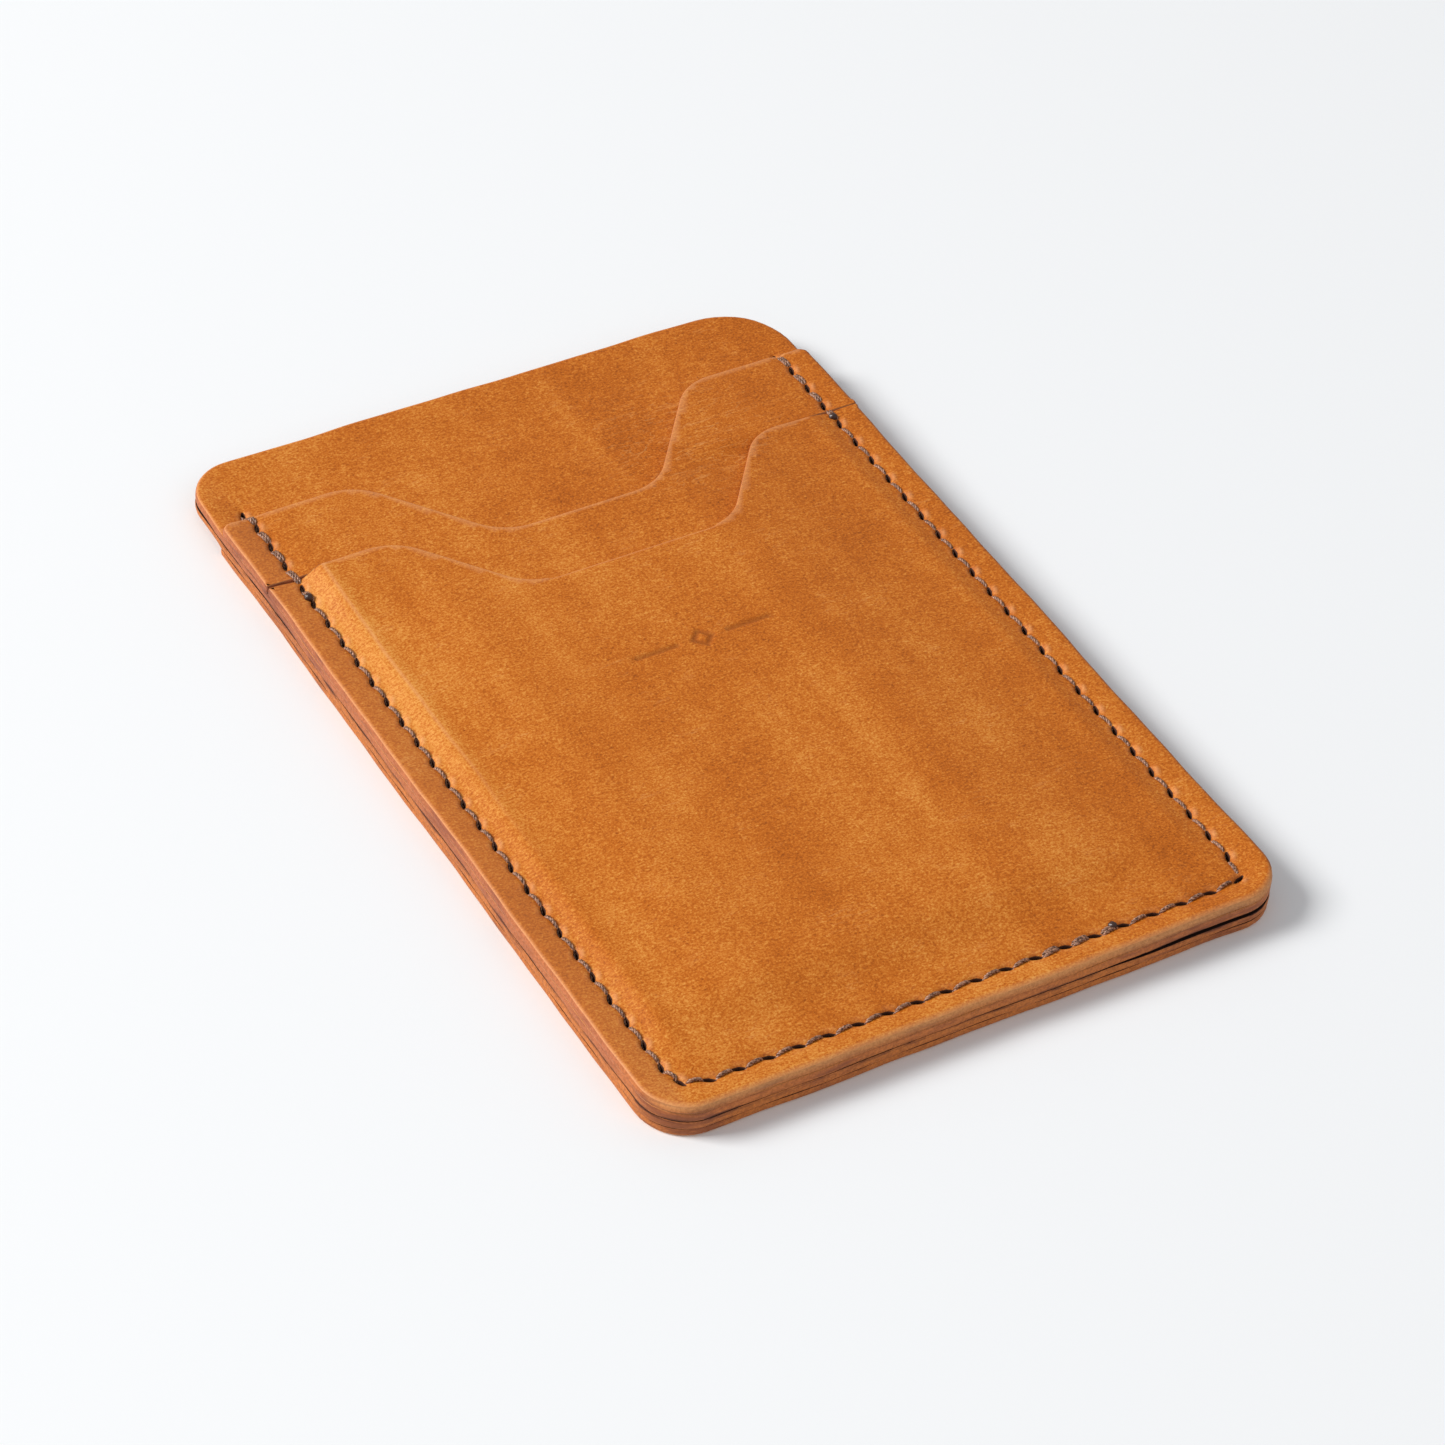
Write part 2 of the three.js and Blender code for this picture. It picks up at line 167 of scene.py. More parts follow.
class CardHolderStage(bpy.types.PropertyGroup):
    azimuth: angle_setting("Azimuth", "Where the camera stands round the object", -32.706)
    elevation: angle_setting("Elevation", "How high the camera stands above the horizon", 42.144)
    roll: angle_setting("Roll", "How far the camera is turned about its own axis", 4.517)
    distance: length_setting("Distance", "From the camera to the point that it aims at", 0.5347)
    aim: bpy.props.FloatVectorProperty(
        name="Aim",
        description="The point that the camera aims at",
        default=(-0.00225, -0.00584, 0.00219),
        size=3,
        subtype="XYZ",
    )
    lens: bpy.props.FloatProperty(
        name="Lens", description="Focal length on a 36 mm sensor, in millimetres", default=122.2
    )
    floor_colour: colour_setting("Floor", "Colour of the plain floor", (0.872, 0.888, 0.9))
    key_power: bpy.props.FloatProperty(
        name="Key light", description="Power of the large soft light behind and to the left, in watts", default=50.0
    )
    world_strength: bpy.props.FloatProperty(
        name="Surrounding light", description="Strength of the pale light from all round", default=0.42
    )


# ---------------------------------------------------------------- small helpers


def linear(code):
    """An sRGB hex code as linear RGBA."""
    parts = [int(code[i : i + 2], 16) / 255 for i in (1, 3, 5)]
    return (*[p / 12.92 if p <= 0.04045 else ((p + 0.055) / 1.055) ** 2.4 for p in parts], 1.0)


def add(tree, kind, inputs=(), **settings):
    """Adds a node with its settings. Each input is given a value or a hex colour, or is linked to a given socket."""
    node = tree.nodes.new(kind)
    for name, value in settings.items():
        setattr(node, name, value)
    for name, value in dict(inputs).items():
        if isinstance(value, bpy.types.NodeSocket):
            tree.links.new(value, node.inputs[name])
        else:
            is_hex = isinstance(value, str) and value.startswith("#")
            node.inputs[name].default_value = linear(value) if is_hex else value
    return node


def calculate(tree, operation, *values, **settings):
    return add(tree, "ShaderNodeMath", enumerate(values), operation=operation, **settings).outputs[0]


def remap(tree, value, low, high, to_low=0.0, to_high=1.0):
    return add(tree, "ShaderNodeMapRange", enumerate((value, low, high, to_low, to_high))).outputs[0]


def blend(tree, amount, first, second):
    return add(tree, "ShaderNodeMix", {0: amount, 6: first, 7: second}, data_type="RGBA").outputs[2]


def noise(tree, place, scale, detail, **more):
    return add(tree, "ShaderNodeTexNoise", {"Vector": place, "Scale": scale, "Detail": detail, **more}).outputs[0]


def vector(tree, operation, first, *others, **named):
    node = add(tree, "ShaderNodeVectorMath", {**dict(enumerate((first, *others))), **named}, operation=operation)
    return node.outputs["Value" if operation == "DISTANCE" else "Vector"]


def drawn_out(tree, place, scale, turn=0.0):
    """The place stretched for a noise, and turned about the upright axis."""
    return add(tree, "ShaderNodeMapping", {"Vector": place, "Rotation": (0.0, 0.0, turn), "Scale": scale}).outputs[0]


def stored(tree, name):
    """A value that the mesh carries at its points."""
    return add(tree, "ShaderNodeAttribute", attribute_name=name).outputs["Fac"]


def linked(item):
    """Puts a new object in the scene."""
    bpy.context.scene.collection.objects.link(item)
    return item


def smooth(value):
    """0 below 0, 1 above 1, and an S-shaped step between them."""
    value = np.clip(value, 0.0, 1.0)
    return value * value * (3 - 2 * value)


def bell(value):
    return np.exp(-value * value)


def along_and_across(x, y, turn):
    """A step's parts along and across a direction."""
    return x * math.cos(turn) + y * math.sin(turn), y * math.cos(turn) - x * math.sin(turn)


def arc(x, y, radius, start, end, steps=12):
    angles = np.radians(np.linspace(start, end, steps))
    return [(x + radius * math.cos(a), y + radius * math.sin(a)) for a in angles]


def densify(points, step):
    """The same closed outline with no stretch longer than step, and no doubled point."""
    made = []
    for (x0, y0), (x1, y1) in zip(points, points[1:] + points[:1]):
        length = math.hypot(x1 - x0, y1 - y0)
        if length < 1e-4:
            continue
        parts = max(1, math.ceil(length / step))
        made += [(x0 + (x1 - x0) * i / parts, y0 + (y1 - y0) * i / parts) for i in range(parts)]
    return np.array(made)


def outward(outline):
    """The outward unit normal at each point of a closed outline that runs counterclockwise."""
    along = np.roll(outline, -1, 0) - np.roll(outline, 1, 0)
    across = np.stack([along[:, 1], -along[:, 0]], 1)
    return across / np.linalg.norm(across, axis=1)[:, None]


def inside(points, outline, chunk=4000):
    """Which points lie within a closed outline."""
    x0, y0 = outline[:, 0], outline[:, 1]
    x1, y1 = np.roll(x0, -1), np.roll(y0, -1)
    rise = np.where(y1 == y0, 1e-12, y1 - y0)
    found = []
    for start in range(0, len(points), chunk):
        px, py = points[start : start + chunk].T[:, :, None]
        spans = (y0 > py) != (y1 > py)
        found.append(np.sum(spans & (px < (x1 - x0) * (py - y0) / rise + x0), 1) % 2 == 1)
    return np.concatenate(found)


def gap_to(points, others, chunk=4000):
    """The distance from each point to the nearest of some others."""
    found = []
    for start in range(0, len(points), chunk):
        part = points[start : start + chunk]
        found.append(np.sqrt(((part[:, None, :] - others[None]) ** 2).sum(2).min(1)))
    return np.concatenate(found)


def triangular_grid(low, high, step):
    rows = np.arange(low[1], high[1], step * 0.866)
    columns = np.arange(low[0], high[0], step)
    x, y = np.meshgrid(columns, rows)
    x = x + (np.arange(len(rows)) % 2)[:, None] * step / 2
    return np.stack([x.ravel(), y.ravel()], 1)


# ---------------------------------------------------------------- the pattern


def mouth(level, curve):
    """A pocket's mouth from its right end to its left, with the thumb curve between S-shaped shoulders."""
    depth, half_width, centre = curve
    slope = math.radians(CURVE_SLOPE)
    straight = (depth - 2 * CURVE_RADIUS * (1 - math.cos(slope))) / math.sin(slope)
    half_span = CURVE_RADIUS * math.sin(slope) + straight * math.cos(slope) / 2
    shoulder = arc(half_width + half_span, level - CURVE_RADIUS, CURVE_RADIUS, 90, 90 + CURVE_SLOPE)
    rest = arc(half_width - half_span, level - depth + CURVE_RADIUS, CURVE_RADIUS, 270 + CURVE_SLOPE, 270)
    right = shoulder + rest
    return [(centre + x, y) for x, y in right] + [(centre - x, y) for x, y in reversed(right)]


def panel_outline():
    points = arc(LEFT + BOTTOM_LEFT_CORNER, BOTTOM + BOTTOM_LEFT_CORNER, BOTTOM_LEFT_CORNER, 180, 270)
    points += arc(RIGHT - BOTTOM_RIGHT_CORNER, BOTTOM + BOTTOM_RIGHT_CORNER, BOTTOM_RIGHT_CORNER, 270, 360)
    points += arc(RIGHT - TOP_RIGHT_CORNER, TOP - TOP_RIGHT_CORNER, TOP_RIGHT_CORNER, 0, 90)
    return points + arc(LEFT + TOP_LEFT_CORNER, TOP - TOP_LEFT_CORNER, TOP_LEFT_CORNER, 90, 180)


def pocket_outline(level, curve, corner=0.25):
    points = arc(LEFT + BOTTOM_LEFT_CORNER, BOTTOM + BOTTOM_LEFT_CORNER, BOTTOM_LEFT_CORNER, 180, 270)
    points += arc(RIGHT - BOTTOM_RIGHT_CORNER, BOTTOM + BOTTOM_RIGHT_CORNER, BOTTOM_RIGHT_CORNER, 270, 360)
    points += arc(RIGHT - corner, level - corner, corner, 0, 90, 5)
    points += mouth(level, curve)
    return points + arc(LEFT + corner, level - corner, corner, 90, 180, 5)


def upper_pocket_outline():
    under = FRONT_MOUTH + BUTT_GAP
    points = arc(-BODY_HALF + FOOT_CORNER, FOOT + FOOT_CORNER, FOOT_CORNER, 180, 270, 7)
    points += arc(BODY_HALF - FOOT_CORNER, FOOT + FOOT_CORNER, FOOT_CORNER, 270, 360, 7)
    points += arc(BODY_HALF + 0.6, under - 0.6, 0.6, 180, 90, 5)
    points += arc(RIGHT - 0.2, under + 0.2, 0.2, 270, 360, 4)
    points += arc(RIGHT - EAR_CORNER, UPPER_MOUTH - EAR_CORNER, EAR_CORNER, 0, 90, 7)
    points += mouth(UPPER_MOUTH, UPPER_CURVE)
    points += arc(LEFT + EAR_CORNER, UPPER_MOUTH - EAR_CORNER, EAR_CORNER, 90, 180, 7)
    points += arc(LEFT + 0.2, under + 0.2, 0.2, 180, 270, 4)
    return points + arc(-BODY_HALF - 0.6, under - 0.6, 0.6, 90, 0, 5)


def row(start, end, count):
    """Hole centres, evenly spaced."""
    return np.linspace(start, end, count + 1)


LEFT_ROW = row((-SEAM_X, UPPER_MOUTH + LEFT_SEAM_START), (-SEAM_X, SEAM_Y), 28)
RIGHT_ROW = row((SEAM_X, UPPER_MOUTH + RIGHT_SEAM_START), (SEAM_X, SEAM_Y), 27)
BOTTOM_ROW = row((-SEAM_X, SEAM_Y), (SEAM_X, SEAM_Y), 19)
FOOT_ROW = row((-FOOT_SEAM_X, FOOT_SEAM_Y), (FOOT_SEAM_X, FOOT_SEAM_Y), 16)
LEFT_ROW[4, 1] = FRONT_MOUTH - 1.5  # set clear of the butted mouth
LEFT_ROW[-1] += (0.72, 1.0)  # the machine turns the corners a little early
RIGHT_ROW[-1] += (-0.85, 0.3)
BOTTOM_ROW[:, 0] -= 1.05 * np.clip(np.arange(len(BOTTOM_ROW)) / 9, 0, 1)

# Each seam as the line of its holes, from its start round the corner to where the two seams meet
LEFT_SEAM = np.concatenate([LEFT_ROW, BOTTOM_ROW[1 : MEETING_HOLE + 1]])
RIGHT_SEAM = np.concatenate([RIGHT_ROW, BOTTOM_ROW[-2 : MEETING_HOLE - OVERLAP - 1 : -1]])


def hole_list():
    """Every awl hole of the outer seams, as its centre and the way that its slit points."""
    found = []
    for seam in (LEFT_SEAM, RIGHT_SEAM[: -1 - OVERLAP]):
        along = np.gradient(seam, axis=0)
        for point, way in zip(seam, along):
            found.append((point[0], point[1], math.atan2(way[1], way[0]) + SLIT_TURN))
    return np.array(found)


HOLES = hole_list()
STITCHES = np.concatenate([np.stack([seam[:-1], seam[1:]], 1) for seam in (LEFT_SEAM, RIGHT_SEAM)])


# ---------------------------------------------------------------- how the layers lie


def seam_marks(x, y, valley=VALLEY, trench=0.12, reach=4.6):
    """What the stitches do to the surface: a valley along the seam line, a trench under each thread and a pit with
    puckered sides at each hole. Gives how far the surface goes down, how near a hole is and where it puckers."""
    pulled = np.zeros_like(x)
    raised = np.zeros_like(x)
    cut = np.zeros_like(x)
    pits = np.zeros_like(x)
    slant = bpy.context.scene.card_holder_stitching.slant / MM
    for (x0, y0), (x1, y1) in STITCHES:
        near = (np.abs(x - (x0 + x1) / 2) < abs(x1 - x0) / 2 + reach) & (
            np.abs(y - (y0 + y1) / 2) < abs(y1 - y0) / 2 + reach
        )
        if not near.any():
            continue
        length = math.hypot(x1 - x0, y1 - y0)
        ways = ((x1 - x0) / length, (y1 - y0) / length)
        along = ((x[near] - x0) * ways[0] + (y[near] - y0) * ways[1]) / length
        across = (y[near] - y0) * ways[0] - (x[near] - x0) * ways[1]
        past = (along - np.clip(along, 0, 1)) * length
        depth = valley * (0.6 if min(x0, x1) > SEAM_X - 2 else 1.0)
        pulled[near] = np.maximum(pulled[near], depth * bell(np.hypot(across, past) / 1.75))
        under_thread = trench * bell((across - slant * (2 * along - 1)) / 0.34)
        under_thread *= smooth((along + 0.1) / 0.15) * smooth((1.1 - along) / 0.15)
        cut[near] = np.maximum(cut[near], under_thread)
    for x0, y0, turn in HOLES:
        near = (np.abs(x - x0) < 2.4) & (np.abs(y - y0) < 2.4)
        if not near.any():
            continue
        along, across = along_and_across(x[near] - x0, y[near] - y0, turn)
        pit = bell(np.hypot(along / 0.95, across / 0.42))
        facing = np.where((x[near] - x0) * (1.0 if abs(x0) > SEAM_X - 2 else 0.3) > 0.2, 1.0, 0.25)
        pucker = bell((np.abs(across) - 0.62) / 0.26) * bell(along / 0.62) * facing
        cut[near] += 0.26 * pit - 0.14 * pucker
        pits[near] = np.maximum(pits[near], pit)
        raised[near] = np.maximum(raised[near], pucker)
    return pulled + cut, pits, raised


def crown(x, y):
    """The pockets' low crown between the seams."""
    height = bpy.context.scene.card_holder_leather.pillow / MM
    return height * smooth((34.0 - np.abs(x)) / 26.0) * smooth((y - SEAM_Y) / 26.0) * smooth((TOP + 12 - y) / 30)


def forming(x, y):
    """How far the front pocket has risen over the upper pocket's body, from 0 to 1. The body is skived thin along
    its sides, so the rise is low at the seams, with a crease over the body's edge, and steeper near the mouth."""
    leather = bpy.context.scene.card_holder_leather
    across = (np.abs(x) - BODY_HALF - 0.1) / (leather.side_slope / MM)
    steep = 1 - 0.55 * smooth(across) - 0.45 * np.clip(across, 0, 1)
    share, start = np.where(x > 0, 0.25, 0.5), np.where(x > 0, 12.0, 20.0)
    gentle = share * (1 - smooth(across)) + (1 - share) * (1 - smooth((np.abs(x) - start) / (BODY_HALF - start)))
    near_mouth = smooth((y - FRONT_MOUTH + 14) / 12) * (x < 0)
    side = gentle + (steep - gentle) * near_mouth
    foot = 1 - smooth((FOOT + 3 - y) / (leather.foot_slope / MM))
    ridge = 0.05 * bell((x + BODY_HALF - 0.1) / 0.5) * smooth((y + 30) / 30)
    return side * foot + ridge * foot


def corner_parting(x, y):
    """The two panels part at the bottom right corner, along the edge and no further in than the seam."""
    gap = bpy.context.scene.card_holder_leather.corner_gap / MM
    near_edge = np.maximum(smooth((x - SEAM_X - 0.2) / 3.2), smooth((SEAM_Y - 0.2 - y) / 2.8))
    open_here = gap * near_edge * smooth((x - 6) / 24) * smooth((BOTTOM + 22 - y) / 18)
    beside_sleeve = 0.22 * smooth((-SEAM_X - 1.2 - x) / 2.0) * smooth((y - 14) / 30) * (0.6 + 0.4 * np.sin(0.9 * y))
    return open_here + beside_sleeve


def sleeve_opening(x, y):
    gap = bpy.context.scene.card_holder_leather.sleeve_gap / MM
    return gap * smooth((y - UPPER_MOUTH - 1.5) / 10.0)


def back_pocket_under(x, y):
    marks, _, _ = seam_marks(x, y, valley=0.08, trench=0.42)
    return np.maximum(0.012 + np.where(y < BACK_MOUTH - 0.6, marks, 0.0), 0.002)


def back_pocket_top(x, y):
    return BACK_PANEL_LEVEL - 0.006 + 0 * x


def back_panel_under(x, y):
    return BACK_PANEL_LEVEL + 0.006 + 0 * x


def back_panel_top(x, y):
    return FRONT_PANEL_LEVEL - 0.006 - 0.5 * corner_parting(x, y)


def front_panel_under(x, y):
    return FRONT_PANEL_LEVEL + 0.006 + 0.5 * corner_parting(x, y) + sleeve_opening(x, y) + 0.5 * crown(x, y)


def front_panel_top(x, y):
    marks, _, _ = seam_marks(x, y)
    flat = POCKET_LEVEL - 0.006 + 0.5 * corner_parting(x, y) + sleeve_opening(x, y) + 0.5 * crown(x, y)
    return flat - np.where(y > UPPER_MOUTH + 0.2, marks, 0.0)


def upper_pocket_under(x, y):
    return POCKET_LEVEL + 0.006 + crown(x, y)


def upper_pocket_top(x, y):
    marks, _, _ = seam_marks(x, y)
    on_ear = smooth((y - FRONT_MOUTH) / 0.8) * smooth((np.abs(x) - 30) / 2.0)
    below = 1 - smooth((y - FRONT_MOUTH + np.where(x > 0, 2.0, 14.0)) / np.where(x > 0, 1.9, 12.0))
    start = np.where(x > 0, 12.0, 20.0)
    at_side = np.where(x > 0, 0.8, 0.55) * smooth((np.abs(x) - start) / (BODY_HALF - start)) * below
    at_foot = 0.55 * smooth((FOOT + 6 - y) / 6)
    skived = np.maximum(at_side, at_foot) * LEATHER
    return MARGIN_TOP + crown(x, y) - marks * on_ear - skived


def front_pocket_under(x, y):
    return POCKET_LEVEL + 0.006 + forming(x, y) * (LEATHER + 0.03) + crown(x, y) + 0.5 * corner_parting(x, y)


def front_pocket_top(x, y):
    marks, _, _ = seam_marks(x, y)
    flat = POCKET_LEVEL + LEATHER + forming(x, y) * (LEATHER + 0.03) + crown(x, y) + 0.5 * corner_parting(x, y)
    return flat - marks - 0.17 * ornament(x, y)


def ornament(x, y):
    """A small plain ornament pressed into the front pocket: a lozenge between two short rules."""
    across, up = x - ORNAMENT[0], y - ORNAMENT[1]
    lozenge = smooth((1.55 - np.abs(across) - np.abs(up)) / 0.3 + 0.5)
    heart = smooth((0.75 - np.abs(across) - np.abs(up)) / 0.25 + 0.5)
    rules = smooth((0.3 - np.abs(up)) / 0.2 + 0.5) * smooth((3.0 - np.abs(np.abs(across) - 5.8)) / 0.3)
    return np.clip(lozenge - heart + rules, 0, 1)


# ---------------------------------------------------------------- one sheet of leather


SLOPE_STEP = 0.5  # the mesh step on the raised part's slopes


def sanded(outline, seed, amount):
    """The cut outline as hand sanding leaves it: a slow wander that all layers share, and a little of its own."""
    rng = np.random.default_rng(seed)
    x, y = outline.T
    shared = 0.6 * np.sin(0.19 * x + 0.15 * y + 1.3) + 0.4 * np.sin(0.47 * x - 0.29 * y + 0.4)
    phase = rng.uniform(0, 6.28, 3)
    own = 0.3 * np.sin(0.35 * x + 0.31 * y + phase[0]) + 0.25 * np.sin(0.9 * y - 0.8 * x + phase[1])
    offset = amount / MM * (shared + 0.7 * own + rng.uniform(-0.15, 0.15))
    outer = (np.abs(x) > RIGHT - 6) | (y < BOTTOM + 6) | (y > TOP - 6)
    return outline + outward(outline) * (offset * outer)[:, None]


SLIT_POINTS = 12
BUTTED_ROUND = 0.16  # the rim where a piece butts against another or is covered
EDGE_BULGE = 0.035  # how far the middle of a cut edge stands out
CHAMFER = 0.14  # how far down a hole its rim reaches
THROAT = 0.86  # how much narrower a hole is inside the leather than at its rim
RIM_ANGLES = ((66, 0.3), (42, 0.65), (20, 0.9), (0, 1.0))  # down a rounded rim, with how much painted highlight it takes there
GRAIN, EDGE, FLESH, CUT = range(4)  # the finishes, in the order of a piece's material slots


def slit_loops(holes, half):
    """The outline of each awl hole: a slanted, pointed oval."""
    a = np.linspace(0, 2 * math.pi, SLIT_POINTS, endpoint=False)
    u, v = half[0] * np.cos(a), half[1] * np.sin(a) * (1 - 0.25 * np.abs(np.cos(a)))
    return [
        np.stack([x + u * math.cos(turn) - v * math.sin(turn), y + u * math.sin(turn) + v * math.cos(turn)], 1)
        for x, y, turn in holes
    ]


def bed_points(outline, field_edge, holes, half, fine):
    """The points inside a sheet, closer together where fine asks for it, and clear of the edge and the holes."""
    leather = bpy.context.scene.card_holder_leather
    seam_step, plain = leather.seam_step / MM, leather.plain_step / MM
    beds = []
    for step in sorted({seam_step, SLOPE_STEP, plain}):
        grid = triangular_grid(outline.min(0), outline.max(0), step)
        grid = grid[np.abs(fine(*grid.T, seam_step, plain) - step) < 1e-6]
        if len(grid):
            grid = grid[inside(grid, field_edge)]
            beds.append(grid[gap_to(grid, field_edge) > min(step, 0.42) * 0.7])
    bed = np.concatenate(beds)
    for x, y, turn in holes:
        u, v = along_and_across(bed[:, 0] - x, bed[:, 1] - y, turn)
        bed = bed[np.hypot(u / (half[0] + 0.1), v / (half[1] + 0.1)) > 1]
    return bed


def sheet_faces(flat, loops, field_edge, holes, half):
    """Triangles between the points of a flat sheet, with none outside its edge or in its holes."""
    fixed = [(int(a), int(b)) for loop in loops for a, b in zip(loop, np.roll(loop, -1))]
    _, _, faces, origins, _, _ = delaunay_2d_cdt([Vector(p) for p in flat.tolist()], fixed, [], 0, 1e-5)
    where = np.array([origin[0] if origin else -1 for origin in origins])
    faces = np.array([[where[i] for i in face] for face in faces if len(face) == 3])
    faces = faces[(faces >= 0).all(1)]
    centres = flat[faces].mean(1)
    keep = inside(centres, field_edge)
    for x, y, turn in holes:
        u, v = along_and_across(centres[:, 0] - x, centres[:, 1] - y, turn)
        keep &= np.hypot(u / half[0], v / half[1]) > THROAT
    faces = faces[keep]
    a, b, c = flat[faces[:, 0]], flat[faces[:, 1]], flat[faces[:, 2]]
    clockwise = (b[:, 0] - a[:, 0]) * (c[:, 1] - a[:, 1]) - (b[:, 1] - a[:, 1]) * (c[:, 0] - a[:, 0]) < 0
    faces[clockwise] = faces[clockwise][:, ::-1]
    return faces


class Skin:
    """Gathers a sheet's points, with the attributes that its finishes read, and the quads between its rings."""

    def __init__(self):
        self.points, self.quads, self.kinds, self.total = [], [], [], 0
        self.values = {"edge": [], "pit": [], "joint": [], "pressed": [], "ridge": []}

    def lay(self, flat, heights, **values):
        self.points.append(np.column_stack([flat, heights]))
        for label, kept in self.values.items():
            kept.append(np.full(len(flat), 1.0) * values.get(label, 0.0))
        self.total += len(flat)
        return np.arange(self.total - len(flat), self.total)

    def band(self, first, second, kind):
        self.quads.append(np.stack([first, second, np.roll(second, -1), np.roll(first, -1)], 1))
        self.kinds.append(np.full(len(first), kind))

    def piece(self, name, faces, under_faces):
        """The finished object: the two faces first, then the bands."""
        polygons = faces.tolist() + under_faces.tolist() + np.concatenate(self.quads).tolist()
        kinds = np.concatenate([np.full(len(faces), GRAIN), np.full(len(faces), FLESH), *self.kinds])
        mesh = bpy.data.meshes.new(name)
        mesh.from_pydata((np.concatenate(self.points) * MM).tolist(), [], polygons)
        mesh.polygons.foreach_set("use_smooth", np.ones(len(polygons), dtype=bool))
        mesh.polygons.foreach_set("material_index", kinds.astype(np.int32))
        for label, values in self.values.items():
            layer = mesh.attributes.new(label, "FLOAT", "POINT")
            layer.data.foreach_set("value", np.concatenate(values).astype(np.float32))
        mesh.validate()
        mesh.update()
        return linked(bpy.data.objects.new(name, mesh))


def leather_sheet(name, outline, over, under, rims, holes, fine, seed, pressing=None):
    """A closed sheet of leather: both faces, a rounded and sanded edge, and its awl holes cut through.

    rims gives the edge rounding above and below at each outline point, and fine says for some points how close
    the mesh should be there, as a step in millimetres.
    """
    leather = bpy.context.scene.card_holder_leather
    stitching = bpy.context.scene.card_holder_stitching
    outline = sanded(densify(outline, leather.outline_step / MM), seed, leather.sanding)
    normals = outward(outline)
    rim_over, rim_under = rims(outline)
    inset = np.maximum(rim_over, rim_under) + 0.03
    field_edge = outline - normals * inset[:, None]
    half = stitching.hole_length / MM / 2, stitching.hole_width / MM / 2
    slits = slit_loops(holes, half)
    flat = np.concatenate([field_edge, *slits, bed_points(outline, field_edge, holes, half, fine)])
    ring, count = len(field_edge), len(flat)
    loops = [ring + SLIT_POINTS * i + np.arange(SLIT_POINTS) for i in range(len(slits))]
    faces = sheet_faces(flat, [np.arange(ring), *loops], field_edge, holes, half)

    # The two faces, with painted highlights along the mouths and on the puckers
    _, pits, raised = seam_marks(*flat.T)
    painted_highlight = np.zeros(count)
    painted_highlight[:ring] = 0.42 * (rim_over > 0.18) * (rim_over < 0.4)
    painted_highlight[ring:] = np.maximum(painted_highlight[ring:], 0.55 * raised[ring:] * (flat[ring:, 1] < UPPER_MOUTH + 3))
    # pit carries painted shade round the awl holes, and joint painted shade where the panels part
    surface_marks = {"pit": pits, "joint": smooth(corner_parting(*flat.T) / 0.12)}
    ornate = {}
    if pressing is not None:
        # how strong the painted highlights by the left crease are, stronger towards the top
        ridged = smooth((flat[:, 1] + 26) / 34) * (0.9 - 0.4 * smooth((12 - flat[:, 1]) / 30))
        ornate = {"pressed": pressing(*flat.T), "ridge": ridged}
    skin = Skin()
    skin.lay(flat, over(*flat.T), edge=painted_highlight, **surface_marks, **ornate)
    skin.lay(flat, under(*flat.T), **surface_marks)

    # From the upper face round the edge to the lower face
    previous = np.arange(ring)
    for angle_down, edge in RIM_ANGLES:
        a = math.radians(angle_down)
        points = outline - normals * (rim_over * (1 - math.cos(a)))[:, None]
        now = skin.lay(points, over(*points.T) - rim_over * (1 - math.sin(a)), edge=edge, joint=rim_over < 0.2)
        skin.band(previous, now, GRAIN if angle_down > 20 else EDGE)
        previous = now
    upper_wall = over(*outline.T) - rim_over
    lower_wall = under(*outline.T) + rim_under
    for part in (0.33, 0.67):
        now = skin.lay(outline + normals * EDGE_BULGE, upper_wall + (lower_wall - upper_wall) * part, edge=1.0)
        skin.band(previous, now, EDGE)
        previous = now
    for angle_down, edge in reversed(RIM_ANGLES):
        a = math.radians(angle_down)
        points = outline - normals * (rim_under * (1 - math.cos(a)))[:, None]
        now = skin.lay(points, under(*points.T) + rim_under * (1 - math.sin(a)), edge=edge, joint=rim_under < 0.2)
        skin.band(previous, now, EDGE if angle_down < 42 else FLESH)
        previous = now
    skin.band(previous, count + np.arange(ring), FLESH)

    # Down each hole
    for loop, (x, y, _) in zip(loops, holes):
        rim = flat[loop]
        centre = np.array([x, y])
        points = centre + (rim - centre) * THROAT
        upper = skin.lay(points, over(*rim.T) - CHAMFER, pit=1.0)
        lower = skin.lay(points, under(*rim.T) + CHAMFER, pit=1.0)
        for first, second in ((loop, upper), (upper, lower), (lower, count + loop)):
            skin.band(first[::-1], second[::-1], CUT)
    return skin.piece(name, faces, faces[:, ::-1] + count)


def seam_fine(x, y, seam_step, plain):
    """The mesh step beside the seams."""
    band = (np.abs(np.abs(x) - SEAM_X) < 1.35) & (y > SEAM_Y - 1.35) & (y < UPPER_MOUTH + 4)
    band |= (np.abs(y - SEAM_Y) < 1.35) & (np.abs(x) < SEAM_X + 1.35)
    return np.where(band, seam_step, plain)


def front_pocket_fine(x, y, seam_step, plain):
    step = seam_fine(x, y, seam_step, plain)
    slope = (np.abs(x) > BODY_HALF - 1.5) & (np.abs(x) < SEAM_X)
    slope |= (y > FOOT - 6) & (y < FOOT + 2)
    step = np.where(slope & (step == plain), SLOPE_STEP, step)
    pressed = (np.abs(x - ORNAMENT[0]) < 8.6) & (np.abs(y - ORNAMENT[1]) < 1.9)
    return np.where(pressed, seam_step, step)


def holes_between(low, high):
    return HOLES[(HOLES[:, 1] > low) & (HOLES[:, 1] < high)]


# ---------------------------------------------------------------- finishes


